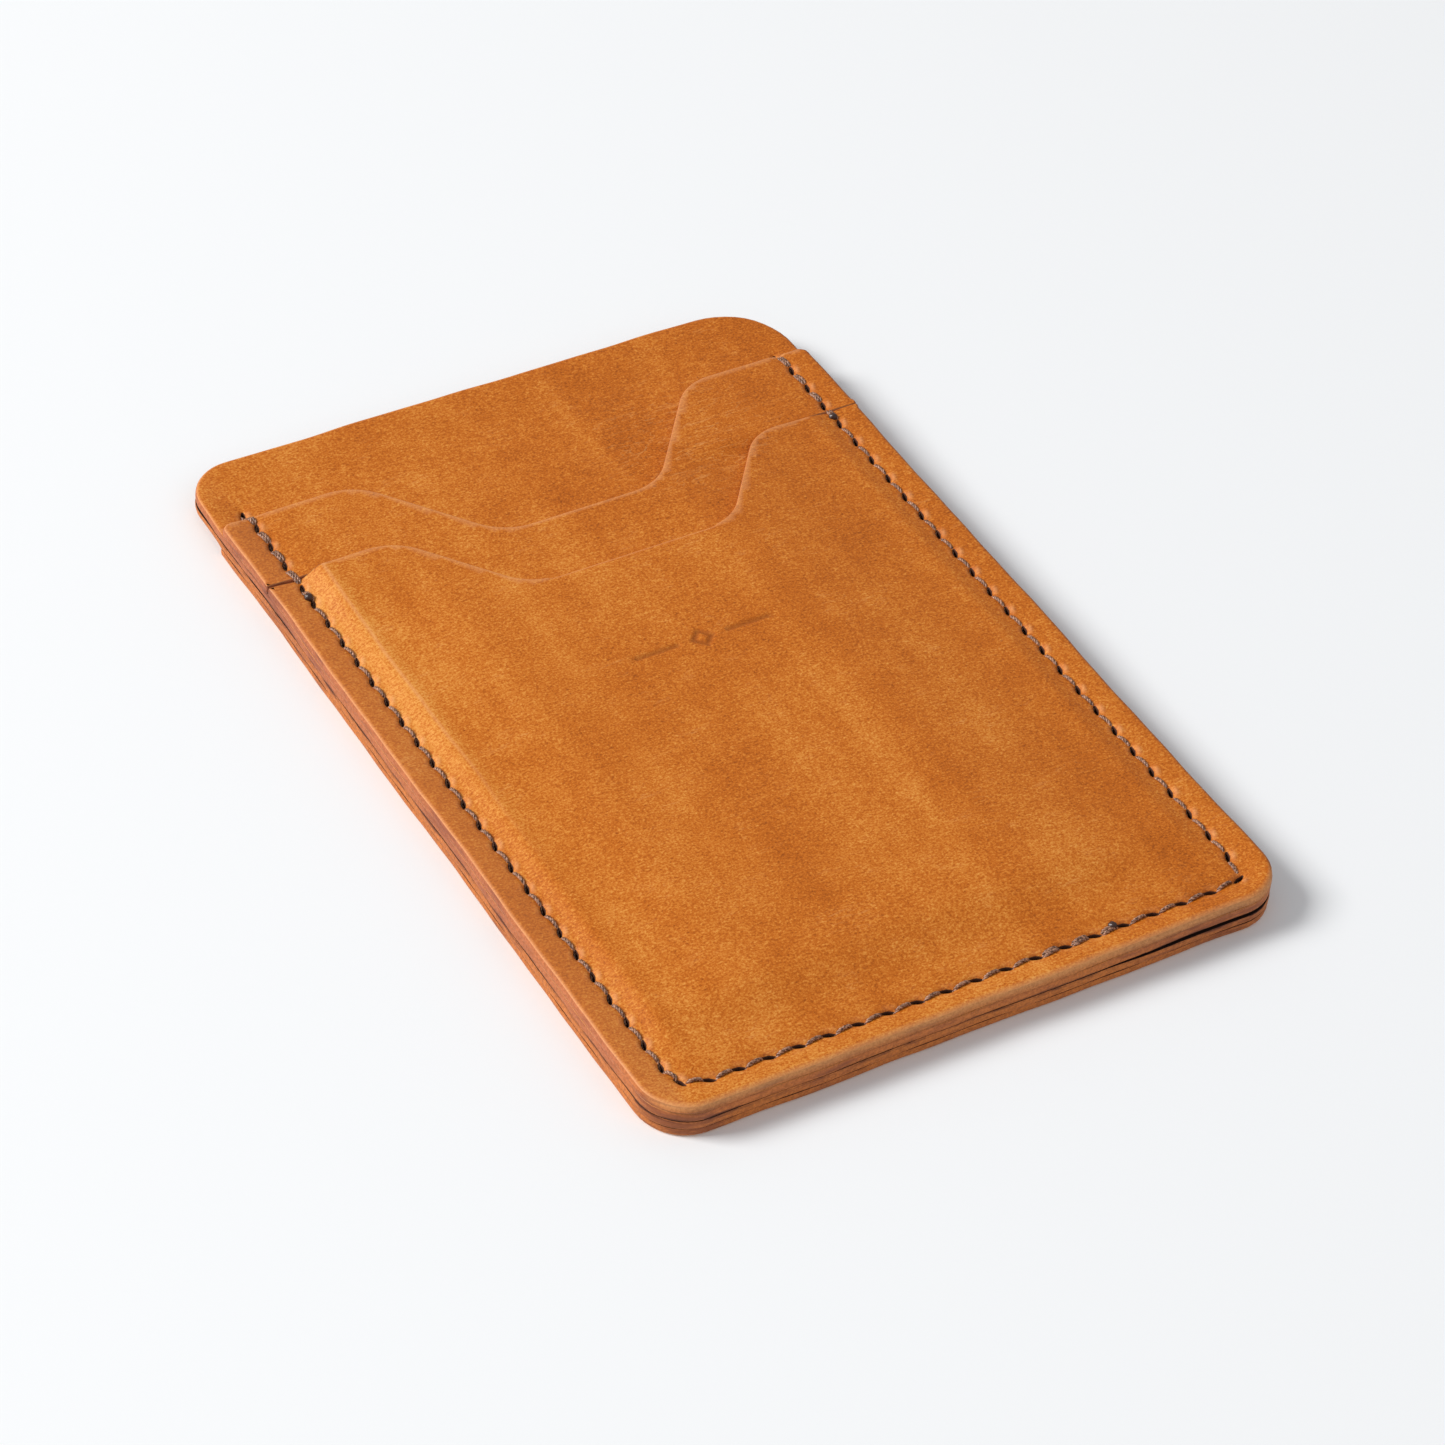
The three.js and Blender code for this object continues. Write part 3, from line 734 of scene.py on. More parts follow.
def new_finish(name):
    """An empty material, its tree and the place on the piece, in metres."""
    material = bpy.data.materials.new(name)
    material.use_nodes = True
    material.node_tree.nodes.clear()
    return material, material.node_tree, add(material.node_tree, "ShaderNodeTexCoord").outputs["Object"]


def surface(tree, colour, roughness, **sockets):
    """Ends a finish with its shader."""
    named = {"Base Color": colour, "Roughness": roughness}
    for name, value in sockets.items():
        named[{"ior": "IOR", "specular": "Specular IOR Level", "normal": "Normal"}[name]] = value
    shader = add(tree, "ShaderNodeBsdfPrincipled", named)
    add(tree, "ShaderNodeOutputMaterial", {"Surface": shader.outputs[0]})


def bumped(tree, height, strength, distance):
    """A normal that a height tips."""
    bump = add(tree, "ShaderNodeBump", {"Strength": strength, "Distance": distance, "Height": height})
    return bump.outputs[0]


def tone_by_place(tree, across, up, ridge):
    """How much paler the leather is at a place, partly as painted light and shade, and the part of it that is the strip
    outside the left seam.
    """
    # the left of the holder is painted paler and the right darker: mostly painted light falloff from the light on the
    # left, partly the leather's own tone
    painted_light_and_tone = remap(tree, across, -0.036, 0.036, 0.1, -0.03)
    # the strip outside the left seam is darker, and the one outside the right seam is a little paler
    left_strip = remap(tree, across, -0.0352, -0.0342, -0.075, 0.0)
    beside = remap(tree, up, 0.0445, 0.0465, 1.0, 0.2)
    left_strip = calculate(tree, "MULTIPLY", left_strip, beside)
    right_strip = remap(tree, across, 0.0342, 0.0352, 0.0, 0.05)
    handled = remap(tree, up, 0.02, 0.034, 0.0, -0.03)
    # painted highlight: the strip outside the bottom seam is painted paler, as it faces the light from behind
    foot_strip = remap(tree, up, -0.0541, -0.0531, 0.06, 0.0)
    strips = calculate(tree, "ADD", left_strip, right_strip)
    strips = calculate(tree, "ADD", strips, foot_strip)
    strips = calculate(tree, "ADD", strips, handled)
    # and painted highlight: the front pocket is paler between its left seam and the crease beside it, where its slope
    # faces the light
    inside_seam = remap(tree, across, -0.0348, -0.0343, 0.0, 0.2)
    before_crease = remap(tree, across, -0.0312, -0.0298, 1.0, 0.0)
    between = calculate(tree, "MULTIPLY", inside_seam, before_crease)
    strips = calculate(tree, "MULTIPLY_ADD", between, ridge, strips)
    return calculate(tree, "ADD", painted_light_and_tone, strips), left_strip


def painted_rim_light(tree, across, clouds, fibres, ridge):
    """Where the rims and the crease are painted with light, as an amount and a colour: a painted highlight, and painted
    shade on the right edge's rim.
    """
    # painted highlight: the rims, creased along the mouths, are painted paler, in broken fibres, where they catch the
    # light
    rim = stored(tree, "edge")
    # painted highlight: a pale line 0.25 mm wide runs down the front pocket along the crease over the edge of the body
    # beneath
    wander = calculate(tree, "MULTIPLY_ADD", clouds, 0.0012, across)
    aside = calculate(tree, "SUBTRACT", wander, -0.0308)
    aside = calculate(tree, "ABSOLUTE", aside)
    line = remap(tree, aside, 0.0, 0.00034, 0.5, 0.0)
    rim = calculate(tree, "MULTIPLY_ADD", ridge, line, rim)
    rim_amount = calculate(tree, "MULTIPLY_ADD", fibres, 0.6, 0.35)
    rim_amount = calculate(tree, "MULTIPLY", rim, rim_amount, use_clamp=True)
    rim_amount = calculate(tree, "MULTIPLY", rim_amount, 1.5, use_clamp=True)
    # painted shade: the right edge's rim is painted dark, as it turns away from the light
    right_edge = remap(tree, across, 0.0371, 0.0376)
    rim_colour = blend(tree, right_edge, "#e2a06a", "#7c4226")
    return rim_amount, rim_colour


def hair_scratches(tree, place, puffs):
    """Hair-fine pale scratches, in patches, worst on the upper pocket's right shoulder."""
    tangled = drawn_out(tree, place, (160.0, 900.0, 300.0), -0.4)
    hairs = noise(tree, tangled, 1.0, 2.0, Distortion=1.2)
    hairs = calculate(tree, "SUBTRACT", hairs, 0.5)
    hairs = calculate(tree, "ABSOLUTE", hairs)
    hairs = remap(tree, hairs, 0.0, 0.02, 1.0, 0.0)
    spot = vector(tree, "DISTANCE", place, (0.017, 0.037, 0.004))
    surface_marks = remap(tree, spot, 0.004, 0.014, 0.5, 0.0)
    patchy = remap(tree, puffs, 0.5, 0.68, 0.0, 0.3)
    surface_marks = calculate(tree, "MAXIMUM", surface_marks, patchy)
    return calculate(tree, "MULTIPLY", surface_marks, hairs)


def waxed_grain():
    """Waxed vegetable-tanned cowhide, grain side: a warm tan that the wax has darkened in clouds, with soft pale
    pull-up streaks up the hide and a fine speckle of pores and fibres, under a low wax sheen."""
    material, tree, place = new_finish("waxed_veg_tan_grain")
    leather = bpy.context.scene.card_holder_leather
    # clouds of wax 15 mm across, and smaller ones 5 mm across
    clouds = noise(tree, place, 62.0, 2.0, Roughness=0.5)
    puffs = noise(tree, place, 210.0, 3.0, Roughness=0.6, Distortion=0.4)
    # pull-up streaks run up the hide, 6 mm apart and 60 mm long
    drawn = drawn_out(tree, place, (165.0, 15.0, 1.0), 0.07)
    streaks = noise(tree, drawn, 1.0, 2.0, Roughness=0.5)
    # fibres lie aslant the hide, 0.25 by 0.45 mm, and pores between them
    laid = drawn_out(tree, place, (1600.0, 4600.0, 1600.0), 0.5)
    fibres = noise(tree, laid, 1.0, 3.0, Roughness=0.7, Distortion=0.8)
    pores = noise(tree, place, 4000.0, 2.0, Roughness=0.7)
    across, up, _ = add(tree, "ShaderNodeSeparateXYZ", {0: place}).outputs
    ridge = stored(tree, "ridge")
    tone, left_strip = tone_by_place(tree, across, up, ridge)
    for part, amount in ((clouds, 0.26), (puffs, 0.22), (streaks, 0.38), (fibres, 0.85), (pores, 1.15)):
        around = calculate(tree, "SUBTRACT", part, 0.5)
        tone = calculate(tree, "MULTIPLY_ADD", around, amount, tone)
    tone = calculate(tree, "ADD", tone, 0.5)
    ramp = add(tree, "ShaderNodeValToRGB", {0: tone})
    steps = ramp.color_ramp.elements
    steps[0].position, steps[0].color = 0.12, linear("#8a4206")
    steps[1].position, steps[1].color = 0.92, linear("#e39c49")
    middle = (*leather.grain_colour, 1.0)
    for position, colour in ((0.34, linear("#ad590e")), (0.5, middle), (0.68, linear("#d07d2a"))):
        steps.new(position).color = colour
    # painted sheen: outside the left seam the colour is washed with a pale pink, which dulls it, standing in for a
    # sheen on the slope there
    painted_sheen = calculate(tree, "MULTIPLY", left_strip, -3.0)
    colour = blend(tree, painted_sheen, ramp.outputs[0], "#be7a4c")
    rim_amount, rim_colour = painted_rim_light(tree, across, clouds, fibres, ridge)
    colour = blend(tree, rim_amount, colour, rim_colour)
    surface_marks = hair_scratches(tree, place, puffs)
    colour = blend(tree, surface_marks, colour, "#e3a35f")
    # the leather is darker where it is pressed at the ornament, and painted shade darkens it round the awl holes
    pressed = stored(tree, "pressed")
    pressed_amount = calculate(tree, "MULTIPLY", pressed, 0.6)
    colour = blend(tree, pressed_amount, colour, "#8f4a16")
    pit = stored(tree, "pit")
    painted_pit_shade = remap(tree, pit, 0.55, 0.95, 0.0, 0.9)
    colour = blend(tree, painted_pit_shade, colour, "#4a2210")
    # painted shade: the leather is painted dark where two edges butt, standing in for the shade in the narrow gap
    # between them
    joint = stored(tree, "joint")
    butted = calculate(tree, "COMPARE", up, FRONT_MOUTH * MM, 0.0003)
    joint_amount = calculate(tree, "MULTIPLY", joint, butted)
    joint_amount = calculate(tree, "MULTIPLY", joint_amount, 0.7)
    colour = blend(tree, joint_amount, colour, "#5e3016")

    height = calculate(tree, "ADD", fibres, pores)
    bump = bumped(tree, height, 0.3, 0.00006)
    rough = remap(tree, puffs, 0.3, 0.7, 0.46, 0.6)
    surface(tree, colour, rough, ior=1.46, specular=0.27, normal=bump)
    return material


def burnished_edge():
    """The cut edge of the leather, waxed and rubbed smooth: the upper layers have taken a pinkish brown and the
    lower ones stay orange, with purple-brown fibres drawn along them and dark glue lines where layers meet."""
    material, tree, place = new_finish("burnished_leather_edge")
    # streaks 0.3 mm high and 4 mm long, in patches 9 mm long
    drawn = drawn_out(tree, place, (260.0, 260.0, 2100.0))
    streaks = noise(tree, drawn, 1.0, 4.0, Roughness=0.6)
    patches = noise(tree, place, 110.0, 2.0)
    fibres = noise(tree, place, 3000.0, 3.0, Roughness=0.7)
    across, up, level = add(tree, "ShaderNodeSeparateXYZ", {0: place}).outputs
    upper = remap(tree, level, 0.0018, 0.0028, 0.0, 0.75)
    beside = remap(tree, up, -0.054, -0.046, 0.25, 1.0)
    upper = calculate(tree, "MULTIPLY", upper, beside)
    wander = calculate(tree, "MULTIPLY_ADD", patches, 0.9, upper)
    wander = calculate(tree, "SUBTRACT", wander, 0.42, use_clamp=True)
    colour = blend(tree, wander, "#d07b3a", "#b96c49")
    mixed = calculate(tree, "MULTIPLY_ADD", patches, 0.9, streaks)
    # the bottom left corner has been rubbed darkest
    corner = calculate(tree, "ADD", across, up)
    corner = remap(tree, corner, -0.092, -0.085, 0.24, 0.0)
    mixed = calculate(tree, "ADD", mixed, corner)
    amount = remap(tree, mixed, 1.0, 1.24, 0.0, 0.62)
    colour = blend(tree, amount, colour, "#6f3c34")
    speck = remap(tree, fibres, 0.38, 0.62, 0.55, 0.0)
    colour = blend(tree, speck, colour, "#8a4a22")
    # painted highlight: pale fibres along the top of the foot's edge, where its rounding catches the light
    painted_bevel_highlight = remap(tree, level, 0.0033, 0.0040)
    foot = remap(tree, up, -0.055, -0.052, 1.0, 0.0)
    painted_bevel_highlight = calculate(tree, "MULTIPLY", painted_bevel_highlight, foot)
    painted_bevel_highlight = calculate(tree, "MULTIPLY", painted_bevel_highlight, fibres)
    colour = blend(tree, painted_bevel_highlight, colour, "#e2a468")
    joint = stored(tree, "joint")
    broken = remap(tree, streaks, 0.46, 0.58, 0.1, 1.0)
    joint_amount = calculate(tree, "MULTIPLY", joint, broken)
    # the joint that shows dark is the two panels', half way up
    at_middle = calculate(tree, "COMPARE", level, FRONT_PANEL_LEVEL * MM, 0.00045)
    at_middle = remap(tree, at_middle, 0.0, 1.0, 0.12, 0.8)
    # and beside the ears the one under them
    at_ear = calculate(tree, "COMPARE", level, POCKET_LEVEL * MM, 0.0003)
    beside_ear = remap(tree, up, 0.0325, 0.0345, 0.0, 0.7)
    at_ear = calculate(tree, "MULTIPLY", at_ear, beside_ear)
    shown = calculate(tree, "MAXIMUM", at_middle, at_ear)
    joint_amount = calculate(tree, "MULTIPLY", joint_amount, shown)
    colour = blend(tree, joint_amount, colour, "#4c2418")
    height = calculate(tree, "ADD", streaks, fibres)
    bump = bumped(tree, height, 0.4, 0.0001)
    surface(tree, colour, 0.55, ior=1.46, specular=0.25, normal=bump)
    return material


def flesh_side():
    """The raw underside of the leather: matt, paler, with short loose fibres."""
    material, tree, place = new_finish("raw_leather_flesh")
    joint = stored(tree, "joint")
    nap = noise(tree, place, 2500.0, 4.0, Roughness=0.7)
    clouds = noise(tree, place, 120.0, 3.0)
    amount = calculate(tree, "MULTIPLY", nap, clouds)
    amount = remap(tree, amount, 0.15, 0.38)
    colour = blend(tree, amount, "#94603a", "#c18f60")
    # it is painted nearly black along the layer rims, where the glue lies, and where the panels part, as painted shade
    # in the gap
    colour = blend(tree, joint, colour, "#24110a")
    bump = bumped(tree, nap, 0.6, 0.0001)
    surface(tree, colour, 0.9, specular=0.2, normal=bump)
    return material


def awl_cut():
    """The wall of an awl hole: raw fibre pressed dark and waxy by the thread."""
    material, tree, place = new_finish("awl_cut_leather")
    fibres = noise(tree, place, 3000.0, 2.0)
    colour = blend(tree, fibres, "#3a1c10", "#5c3019")
    surface(tree, colour, 0.8)
    return material


def waxed_thread():
    """Waxed three-ply polyester thread: dark brown, with pale glints painted along each ply."""
    material, tree, place = new_finish("waxed_polyester_thread")
    fibres = noise(tree, place, 4200.0, 2.0)
    # painted highlight: pale flecks in the colour stand in for glints on the plies
    amount = remap(tree, fibres, 0.35, 0.68)
    colour = blend(tree, amount, "#4f2f20", "#c08e70")
    melted = stored(tree, "melted")
    colour = blend(tree, melted, colour, "#3d241c")
    bump = bumped(tree, fibres, 0.25, 0.00004)
    surface(tree, colour, 0.36, ior=1.5, specular=0.6, normal=bump)
    return material


def studio_floor():
    """A matt paper sweep: even and nearly white, a trace cooler than the light on it."""
    material, tree, place = new_finish("matt_paper_floor")
    tooth = noise(tree, place, 900.0, 2.0)
    stage = bpy.context.scene.card_holder_stage
    bump = bumped(tree, tooth, 0.03, 0.0001)
    surface(tree, (*stage.floor_colour, 1.0), 0.85, specular=0.2, normal=bump)
    return material


def finish_named(name, make):
    return bpy.data.materials.get(name) or make()


# In the order of a piece's material slots
FINISHES = (
    ("waxed_veg_tan_grain", waxed_grain),
    ("burnished_leather_edge", burnished_edge),
    ("raw_leather_flesh", flesh_side),
    ("awl_cut_leather", awl_cut),
)


# ---------------------------------------------------------------- threads


def twisted_thread_tree(material):
    """A Geometry Nodes tree that lays three plies round a path, and a melted bead on each cut end."""
    tree = bpy.data.node_groups.new("twisted_thread", "GeometryNodeTree")
    sockets = tree.interface
    sockets.new_socket("Path", in_out="INPUT", socket_type="NodeSocketGeometry")
    for name in ("Ply Radius", "Ply Offset", "Lay", "Step", "Bead"):
        sockets.new_socket(name, in_out="INPUT", socket_type="NodeSocketFloat")
    sockets.new_socket("Thread", in_out="OUTPUT", socket_type="NodeSocketGeometry")
    given = add(tree, "NodeGroupInput")
    curve = add(tree, "GeometryNodeMeshToCurve", {"Mesh": given.outputs["Path"]}).outputs[0]
    spaced = {"Curve": curve, "Length": given.outputs["Step"]}
    curve = add(tree, "GeometryNodeResampleCurve", spaced, mode="LENGTH").outputs[0]
    length = add(tree, "GeometryNodeSplineParameter").outputs["Length"]
    normal = add(tree, "GeometryNodeInputNormal").outputs[0]
    tangent = add(tree, "GeometryNodeInputTangent").outputs[0]
    side = vector(tree, "CROSS_PRODUCT", tangent, normal)
    turns = calculate(tree, "DIVIDE", length, given.outputs["Lay"])
    angle = calculate(tree, "MULTIPLY", turns, 2 * math.pi)
    ring = {"Resolution": 7, "Radius": given.outputs["Ply Radius"]}
    profile = add(tree, "GeometryNodeCurvePrimitiveCircle", ring).outputs[0]
    joined = add(tree, "GeometryNodeJoinGeometry")
    for ply in range(3):
        turn = calculate(tree, "ADD", angle, 2 * math.pi * ply / 3)
        cosine = calculate(tree, "COSINE", turn)
        sine = calculate(tree, "SINE", turn)
        over = vector(tree, "SCALE", normal, Scale=cosine)
        beside = vector(tree, "SCALE", side, Scale=sine)
        away = vector(tree, "ADD", over, beside)
        away = vector(tree, "SCALE", away, Scale=given.outputs["Ply Offset"])
        strand = add(tree, "GeometryNodeSetPosition", {"Geometry": curve, "Offset": away}).outputs[0]
        swept = {"Curve": strand, "Profile Curve": profile, "Fill Caps": True}
        strand = add(tree, "GeometryNodeCurveToMesh", swept).outputs[0]
        tree.links.new(strand, joined.inputs[0])
    ends = add(tree, "GeometryNodeCurveEndpointSelection", {"Start Size": 1, "End Size": 1}).outputs[0]
    bead = add(tree, "GeometryNodeMeshIcoSphere", {"Radius": given.outputs["Bead"], "Subdivisions": 3}).outputs[0]
    ripple = add(tree, "ShaderNodeTexNoise", {"Scale": 2500.0, "Detail": 1.0}).outputs["Color"]
    ripple = vector(tree, "SUBTRACT", ripple, (0.5, 0.5, 0.5))
    ripple = vector(tree, "SCALE", ripple, Scale=0.0003)
    bead = add(tree, "GeometryNodeSetPosition", {"Geometry": bead, "Offset": ripple}).outputs[0]
    bead = add(tree, "GeometryNodeStoreNamedAttribute", {"Geometry": bead, "Name": "melted", "Value": 1.0}).outputs[0]
    points = add(tree, "GeometryNodeCurveToPoints", {"Curve": curve}, mode="EVALUATED").outputs[0]
    beads = add(tree, "GeometryNodeInstanceOnPoints", {"Points": points, "Instance": bead})
    # the end points are picked before the curve becomes points
    kept = add(tree, "GeometryNodeCaptureAttribute", {"Geometry": curve})
    kept.capture_items.new("BOOLEAN", "Ends")
    tree.links.new(ends, kept.inputs["Ends"])
    tree.links.new(kept.outputs["Geometry"], points.node.inputs["Curve"])
    tree.links.new(kept.outputs["Ends"], beads.inputs["Selection"])
    tree.links.new(beads.outputs[0], joined.inputs[0])
    real = add(tree, "GeometryNodeRealizeInstances", {"Geometry": joined.outputs[0]}).outputs[0]
    shaded = add(tree, "GeometryNodeSetShadeSmooth", {"Geometry": real}).outputs[0]
    dressed = add(tree, "GeometryNodeSetMaterial", {"Geometry": shaded, "Material": material}).outputs[0]
    add(tree, "NodeGroupOutput", {"Thread": dressed})
    return tree


def twist(name, points, bead):
    """Makes a path into a twisted thread, as a plain mesh."""
    stitching = bpy.context.scene.card_holder_stitching
    mesh = bpy.data.meshes.new(name + "_path")
    mesh.from_pydata((np.array(points) * MM).tolist(), [(i, i + 1) for i in range(len(points) - 1)], [])
    guide = linked(bpy.data.objects.new(name + "_path", mesh))
    material = finish_named("waxed_polyester_thread", waxed_thread)
    tree = bpy.data.node_groups.get("twisted_thread") or twisted_thread_tree(material)
    modifier = guide.modifiers.new("twist", "NODES")
    modifier.node_group = tree
    sizes = {
        "Ply Radius": stitching.thread * 0.27,
        "Ply Offset": stitching.thread * 0.25,
        "Lay": stitching.lay,
        "Step": 0.00017,
        "Bead": bead * MM,
    }
    for item in tree.interface.items_tree:
        if item.item_type == "SOCKET" and item.in_out == "INPUT" and item.name in sizes:
            modifier[item.identifier] = sizes[item.name]
    graph = bpy.context.evaluated_depsgraph_get()
    made = bpy.data.meshes.new_from_object(guide.evaluated_get(graph), depsgraph=graph)
    made.name = name
    bpy.data.objects.remove(guide)
    bpy.data.meshes.remove(mesh)
    if not made.polygons:
        raise RuntimeError(name + " came out empty")
    return linked(bpy.data.objects.new(name, made))


def front_height(x, y):
    """The front surface that a needle thread lies on, down in the seam's valley."""
    x, y = np.array([x]), np.array([y])
    if y[0] > UPPER_MOUTH:
        return float(POCKET_LEVEL + sleeve_opening(x, y)[0]) - VALLEY
    lift = 0.5 * corner_parting(x, y)[0] if y[0] < FRONT_MOUTH else 0.0
    return float(MARGIN_TOP - VALLEY + lift)


def stitched_path(seam, passes, height, side, lock):
    """The way of one thread through the holes of a seam. passes lists runs of holes, each with its offset to the
    side of the seam line; between two holes the thread lies on the leather, and in each hole it dips to the lock."""
    stitching = bpy.context.scene.card_holder_stitching
    slant = stitching.slant / MM
    half = stitching.thread / MM / 2
    points = []
    for start, end, offset in passes:
        step = 1 if end > start else -1
        for i in range(start, end, step):
            here, there = seam[i], seam[i + step]
            length = float(np.hypot(*(there - here)))
            way = (there - here) / length
            left = np.array([-way[1], way[0]]) * side
            shift = left * offset
            for u, across, rise in (
                (0.17, -1.0, -5.5),
                (0.2, -0.95, -3.6),
                (0.235, -0.85, -1.7),
                (0.285, -0.7, -0.3),
                (0.36, -0.45, 0.3),
                (0.45, -0.15, 0.5),
                (0.55, 0.15, 0.5),
                (0.64, 0.45, 0.25),
                (0.715, 0.7, -0.35),
                (0.765, 0.85, -1.7),
                (0.8, 0.95, -3.6),
            ):
                at = here + way * length * u + left * across * slant + shift
                level = height(*at)
                # over a mouth's edge the thread climbs or falls between the two levels
                before, after = height(*(at - way * 0.55)), height(*(at + way * 0.55))
                level = max(level, (before + after) / 2) if side > 0 else min(level, (before + after) / 2)
                points.append((*at, level + side * half * rise))
            floor = lock
            at = there + shift * 0.6
            points.append((*(at - way * 0.1), floor + side * 0.25))
            points.append((*at, floor))
            points.append((*(at + way * 0.1), floor + side * 0.25))
    return points


def sunk_path(seam, passes, lock):
    """The back thread, which lies in the trench that the stitches press into the back pocket."""
    half = bpy.context.scene.card_holder_stitching.thread / MM / 2

    def trench(x, y):
        return half + 0.08 if y < BACK_MOUTH else BACK_PANEL_LEVEL - half * 0.8

    points = []
    for x, y, z in stitched_path(seam, passes, trench, -1, lock):
        points.append((x, y, max(z, half + 0.075)))
    return points


# ---------------------------------------------------------------- operators


class CARDHOLDER_OT_stage(bpy.types.Operator):
    """Makes the floor, the lights and the camera."""

    bl_idname = "card_holder.stage"
    bl_label = "Stage"

    def execute(self, context):
        scene = context.scene
        stage = scene.card_holder_stage
        mesh = bpy.data.meshes.new("floor")
        mesh.from_pydata([(-3.0, -3.0, 0), (3.0, -3.0, 0), (3.0, 3.0, 0), (-3.0, 3.0, 0)], [], [(0, 1, 2, 3)])
        floor = linked(bpy.data.objects.new("floor", mesh))
        mesh.materials.append(finish_named("matt_paper_floor", studio_floor))

        a, e, r = stage.azimuth, stage.elevation, stage.roll
        back = Vector((math.sin(a) * math.cos(e), -math.cos(a) * math.cos(e), math.sin(e)))
        level = Vector((math.cos(a), math.sin(a), 0.0))
        steep = back.cross(level)
        right = level * math.cos(r) + steep * math.sin(r)
        up = back.cross(right)
        camera = linked(bpy.data.objects.new("camera", bpy.data.cameras.new("camera")))
        turn = Matrix((right, up, back)).transposed().to_4x4()
        camera.matrix_world = Matrix.Translation(Vector(stage.aim) + back * stage.distance) @ turn
        camera.data.sensor_width = 36.0
        camera.data.lens = stage.lens
        camera.data.clip_start = 0.01
        camera.data.clip_end = 20.0
        scene.camera = camera

        # A large soft light behind and to the left, and a weaker one from the front left
        for name, place, size, power, colour in (
            ("key", (-1.55, 0.85, 1.3), 0.85, stage.key_power, (1.0, 0.99, 0.975)),
            ("fill", (0.2, -1.1, 1.1), 0.9, stage.key_power * 0.045, (0.98, 0.99, 1.0)),
        ):
            data = bpy.data.lights.new(name, "AREA")
            data.shape = "SQUARE"
            data.size = size
            data.energy = power
            data.color = colour
            lamp = linked(bpy.data.objects.new(name, data))
            lamp.location = place
            lamp.rotation_euler = (-Vector(place)).to_track_quat("-Z", "Y").to_euler()
        world = bpy.data.worlds.new("pale_room")
        world.use_nodes = True
        tree = world.node_tree
        tree.nodes.clear()
        sky = add(tree, "ShaderNodeBackground", {"Color": (0.97, 0.975, 1.0, 1.0), "Strength": stage.world_strength})
        add(tree, "ShaderNodeOutputWorld", {"Surface": sky.outputs[0]})
        scene.world = world
        scene.view_settings.view_transform = "Standard"
        return {"FINISHED"}


def settle(piece, slot, *nodes):
    """A finished piece takes the place of its plain solid."""
    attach(piece, "root")
    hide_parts(*nodes)


def lay_leather(name, slot, node, outline, faces, rims, holes, seed, rests_on, grain_down=False, **more):
    piece = leather_sheet(name, outline, *faces, rims, holes, more.pop("fine", seam_fine), seed, **more)
    for finish, make in FINISHES:
        piece.data.materials.append(finish_named(finish, make))
    if grain_down:
        kinds = np.empty(len(piece.data.polygons), dtype=np.int32)
        piece.data.polygons.foreach_get("material_index", kinds)
        kinds = np.choose(kinds, [FLESH, EDGE, GRAIN, CUT])
        piece.data.polygons.foreach_set("material_index", kinds.astype(np.int32))
    settle(piece, slot, node)


def mouth_rims(points, low, share=1.0):
    """The outer face's rim of a pocket: thin along its mouth, which starts at a height, and round elsewhere."""
    leather = bpy.context.scene.card_holder_leather
    at_mouth = (points[:, 1] > low) & (np.abs(points[:, 0]) < RIGHT - 1)
    return np.where(at_mouth, leather.mouth_round, leather.outer_round * share) / MM


def layer_rims(points):
    return np.full(len(points), bpy.context.scene.card_holder_leather.layer_round / MM)


def back_pocket_rims(points):
    return layer_rims(points), mouth_rims(points, BACK_MOUTH - BACK_CURVE[0] + 0.1, 0.8)


def panel_rims(points):
    layer = layer_rims(points)
    return layer + (0.42 - layer) * smooth((points[:, 1] - UPPER_MOUTH + 0.5) / 1.5), layer


def upper_pocket_rims(points):
    leather = bpy.context.scene.card_holder_leather
    at_side = smooth((np.abs(points[:, 0]) - RIGHT + 1.2) / 0.8)
    mouth_round = leather.mouth_round / MM
    outer = mouth_round + (leather.outer_round / MM - mouth_round) * at_side
    hidden = (points[:, 1] < FRONT_MOUTH + 1.0) & ((np.abs(points[:, 0]) > 24) | (points[:, 1] < 0))
    return np.where(hidden, BUTTED_ROUND, outer), layer_rims(points)


def front_pocket_rims(points):
    outer = mouth_rims(points, FRONT_MOUTH - FRONT_CURVE[0] + 0.1) + 0.35 * smooth((BOTTOM + 3.5 - points[:, 1]) / 3)
    butted = (points[:, 1] > FRONT_MOUTH - 0.3) & (np.abs(points[:, 0]) > BODY_HALF)
    return np.where(butted, BUTTED_ROUND, outer), layer_rims(points)


class CARDHOLDER_OT_back_pocket(bpy.types.Operator):
    """Makes the back pocket, which the holder lies on."""

    bl_idname = "card_holder.back_pocket"
    bl_label = "Back pocket"

    def execute(self, context):
        outline = pocket_outline(BACK_MOUTH, BACK_CURVE)
        faces, holes = (back_pocket_top, back_pocket_under), holes_between(BOTTOM, BACK_MOUTH - 1)
        name, slot = "back_pocket_leather_piece", "back_pocket_leather"
        lay_leather(name, slot, "back_pocket", outline, faces, back_pocket_rims, holes, 11, [], grain_down=True)
        return {"FINISHED"}


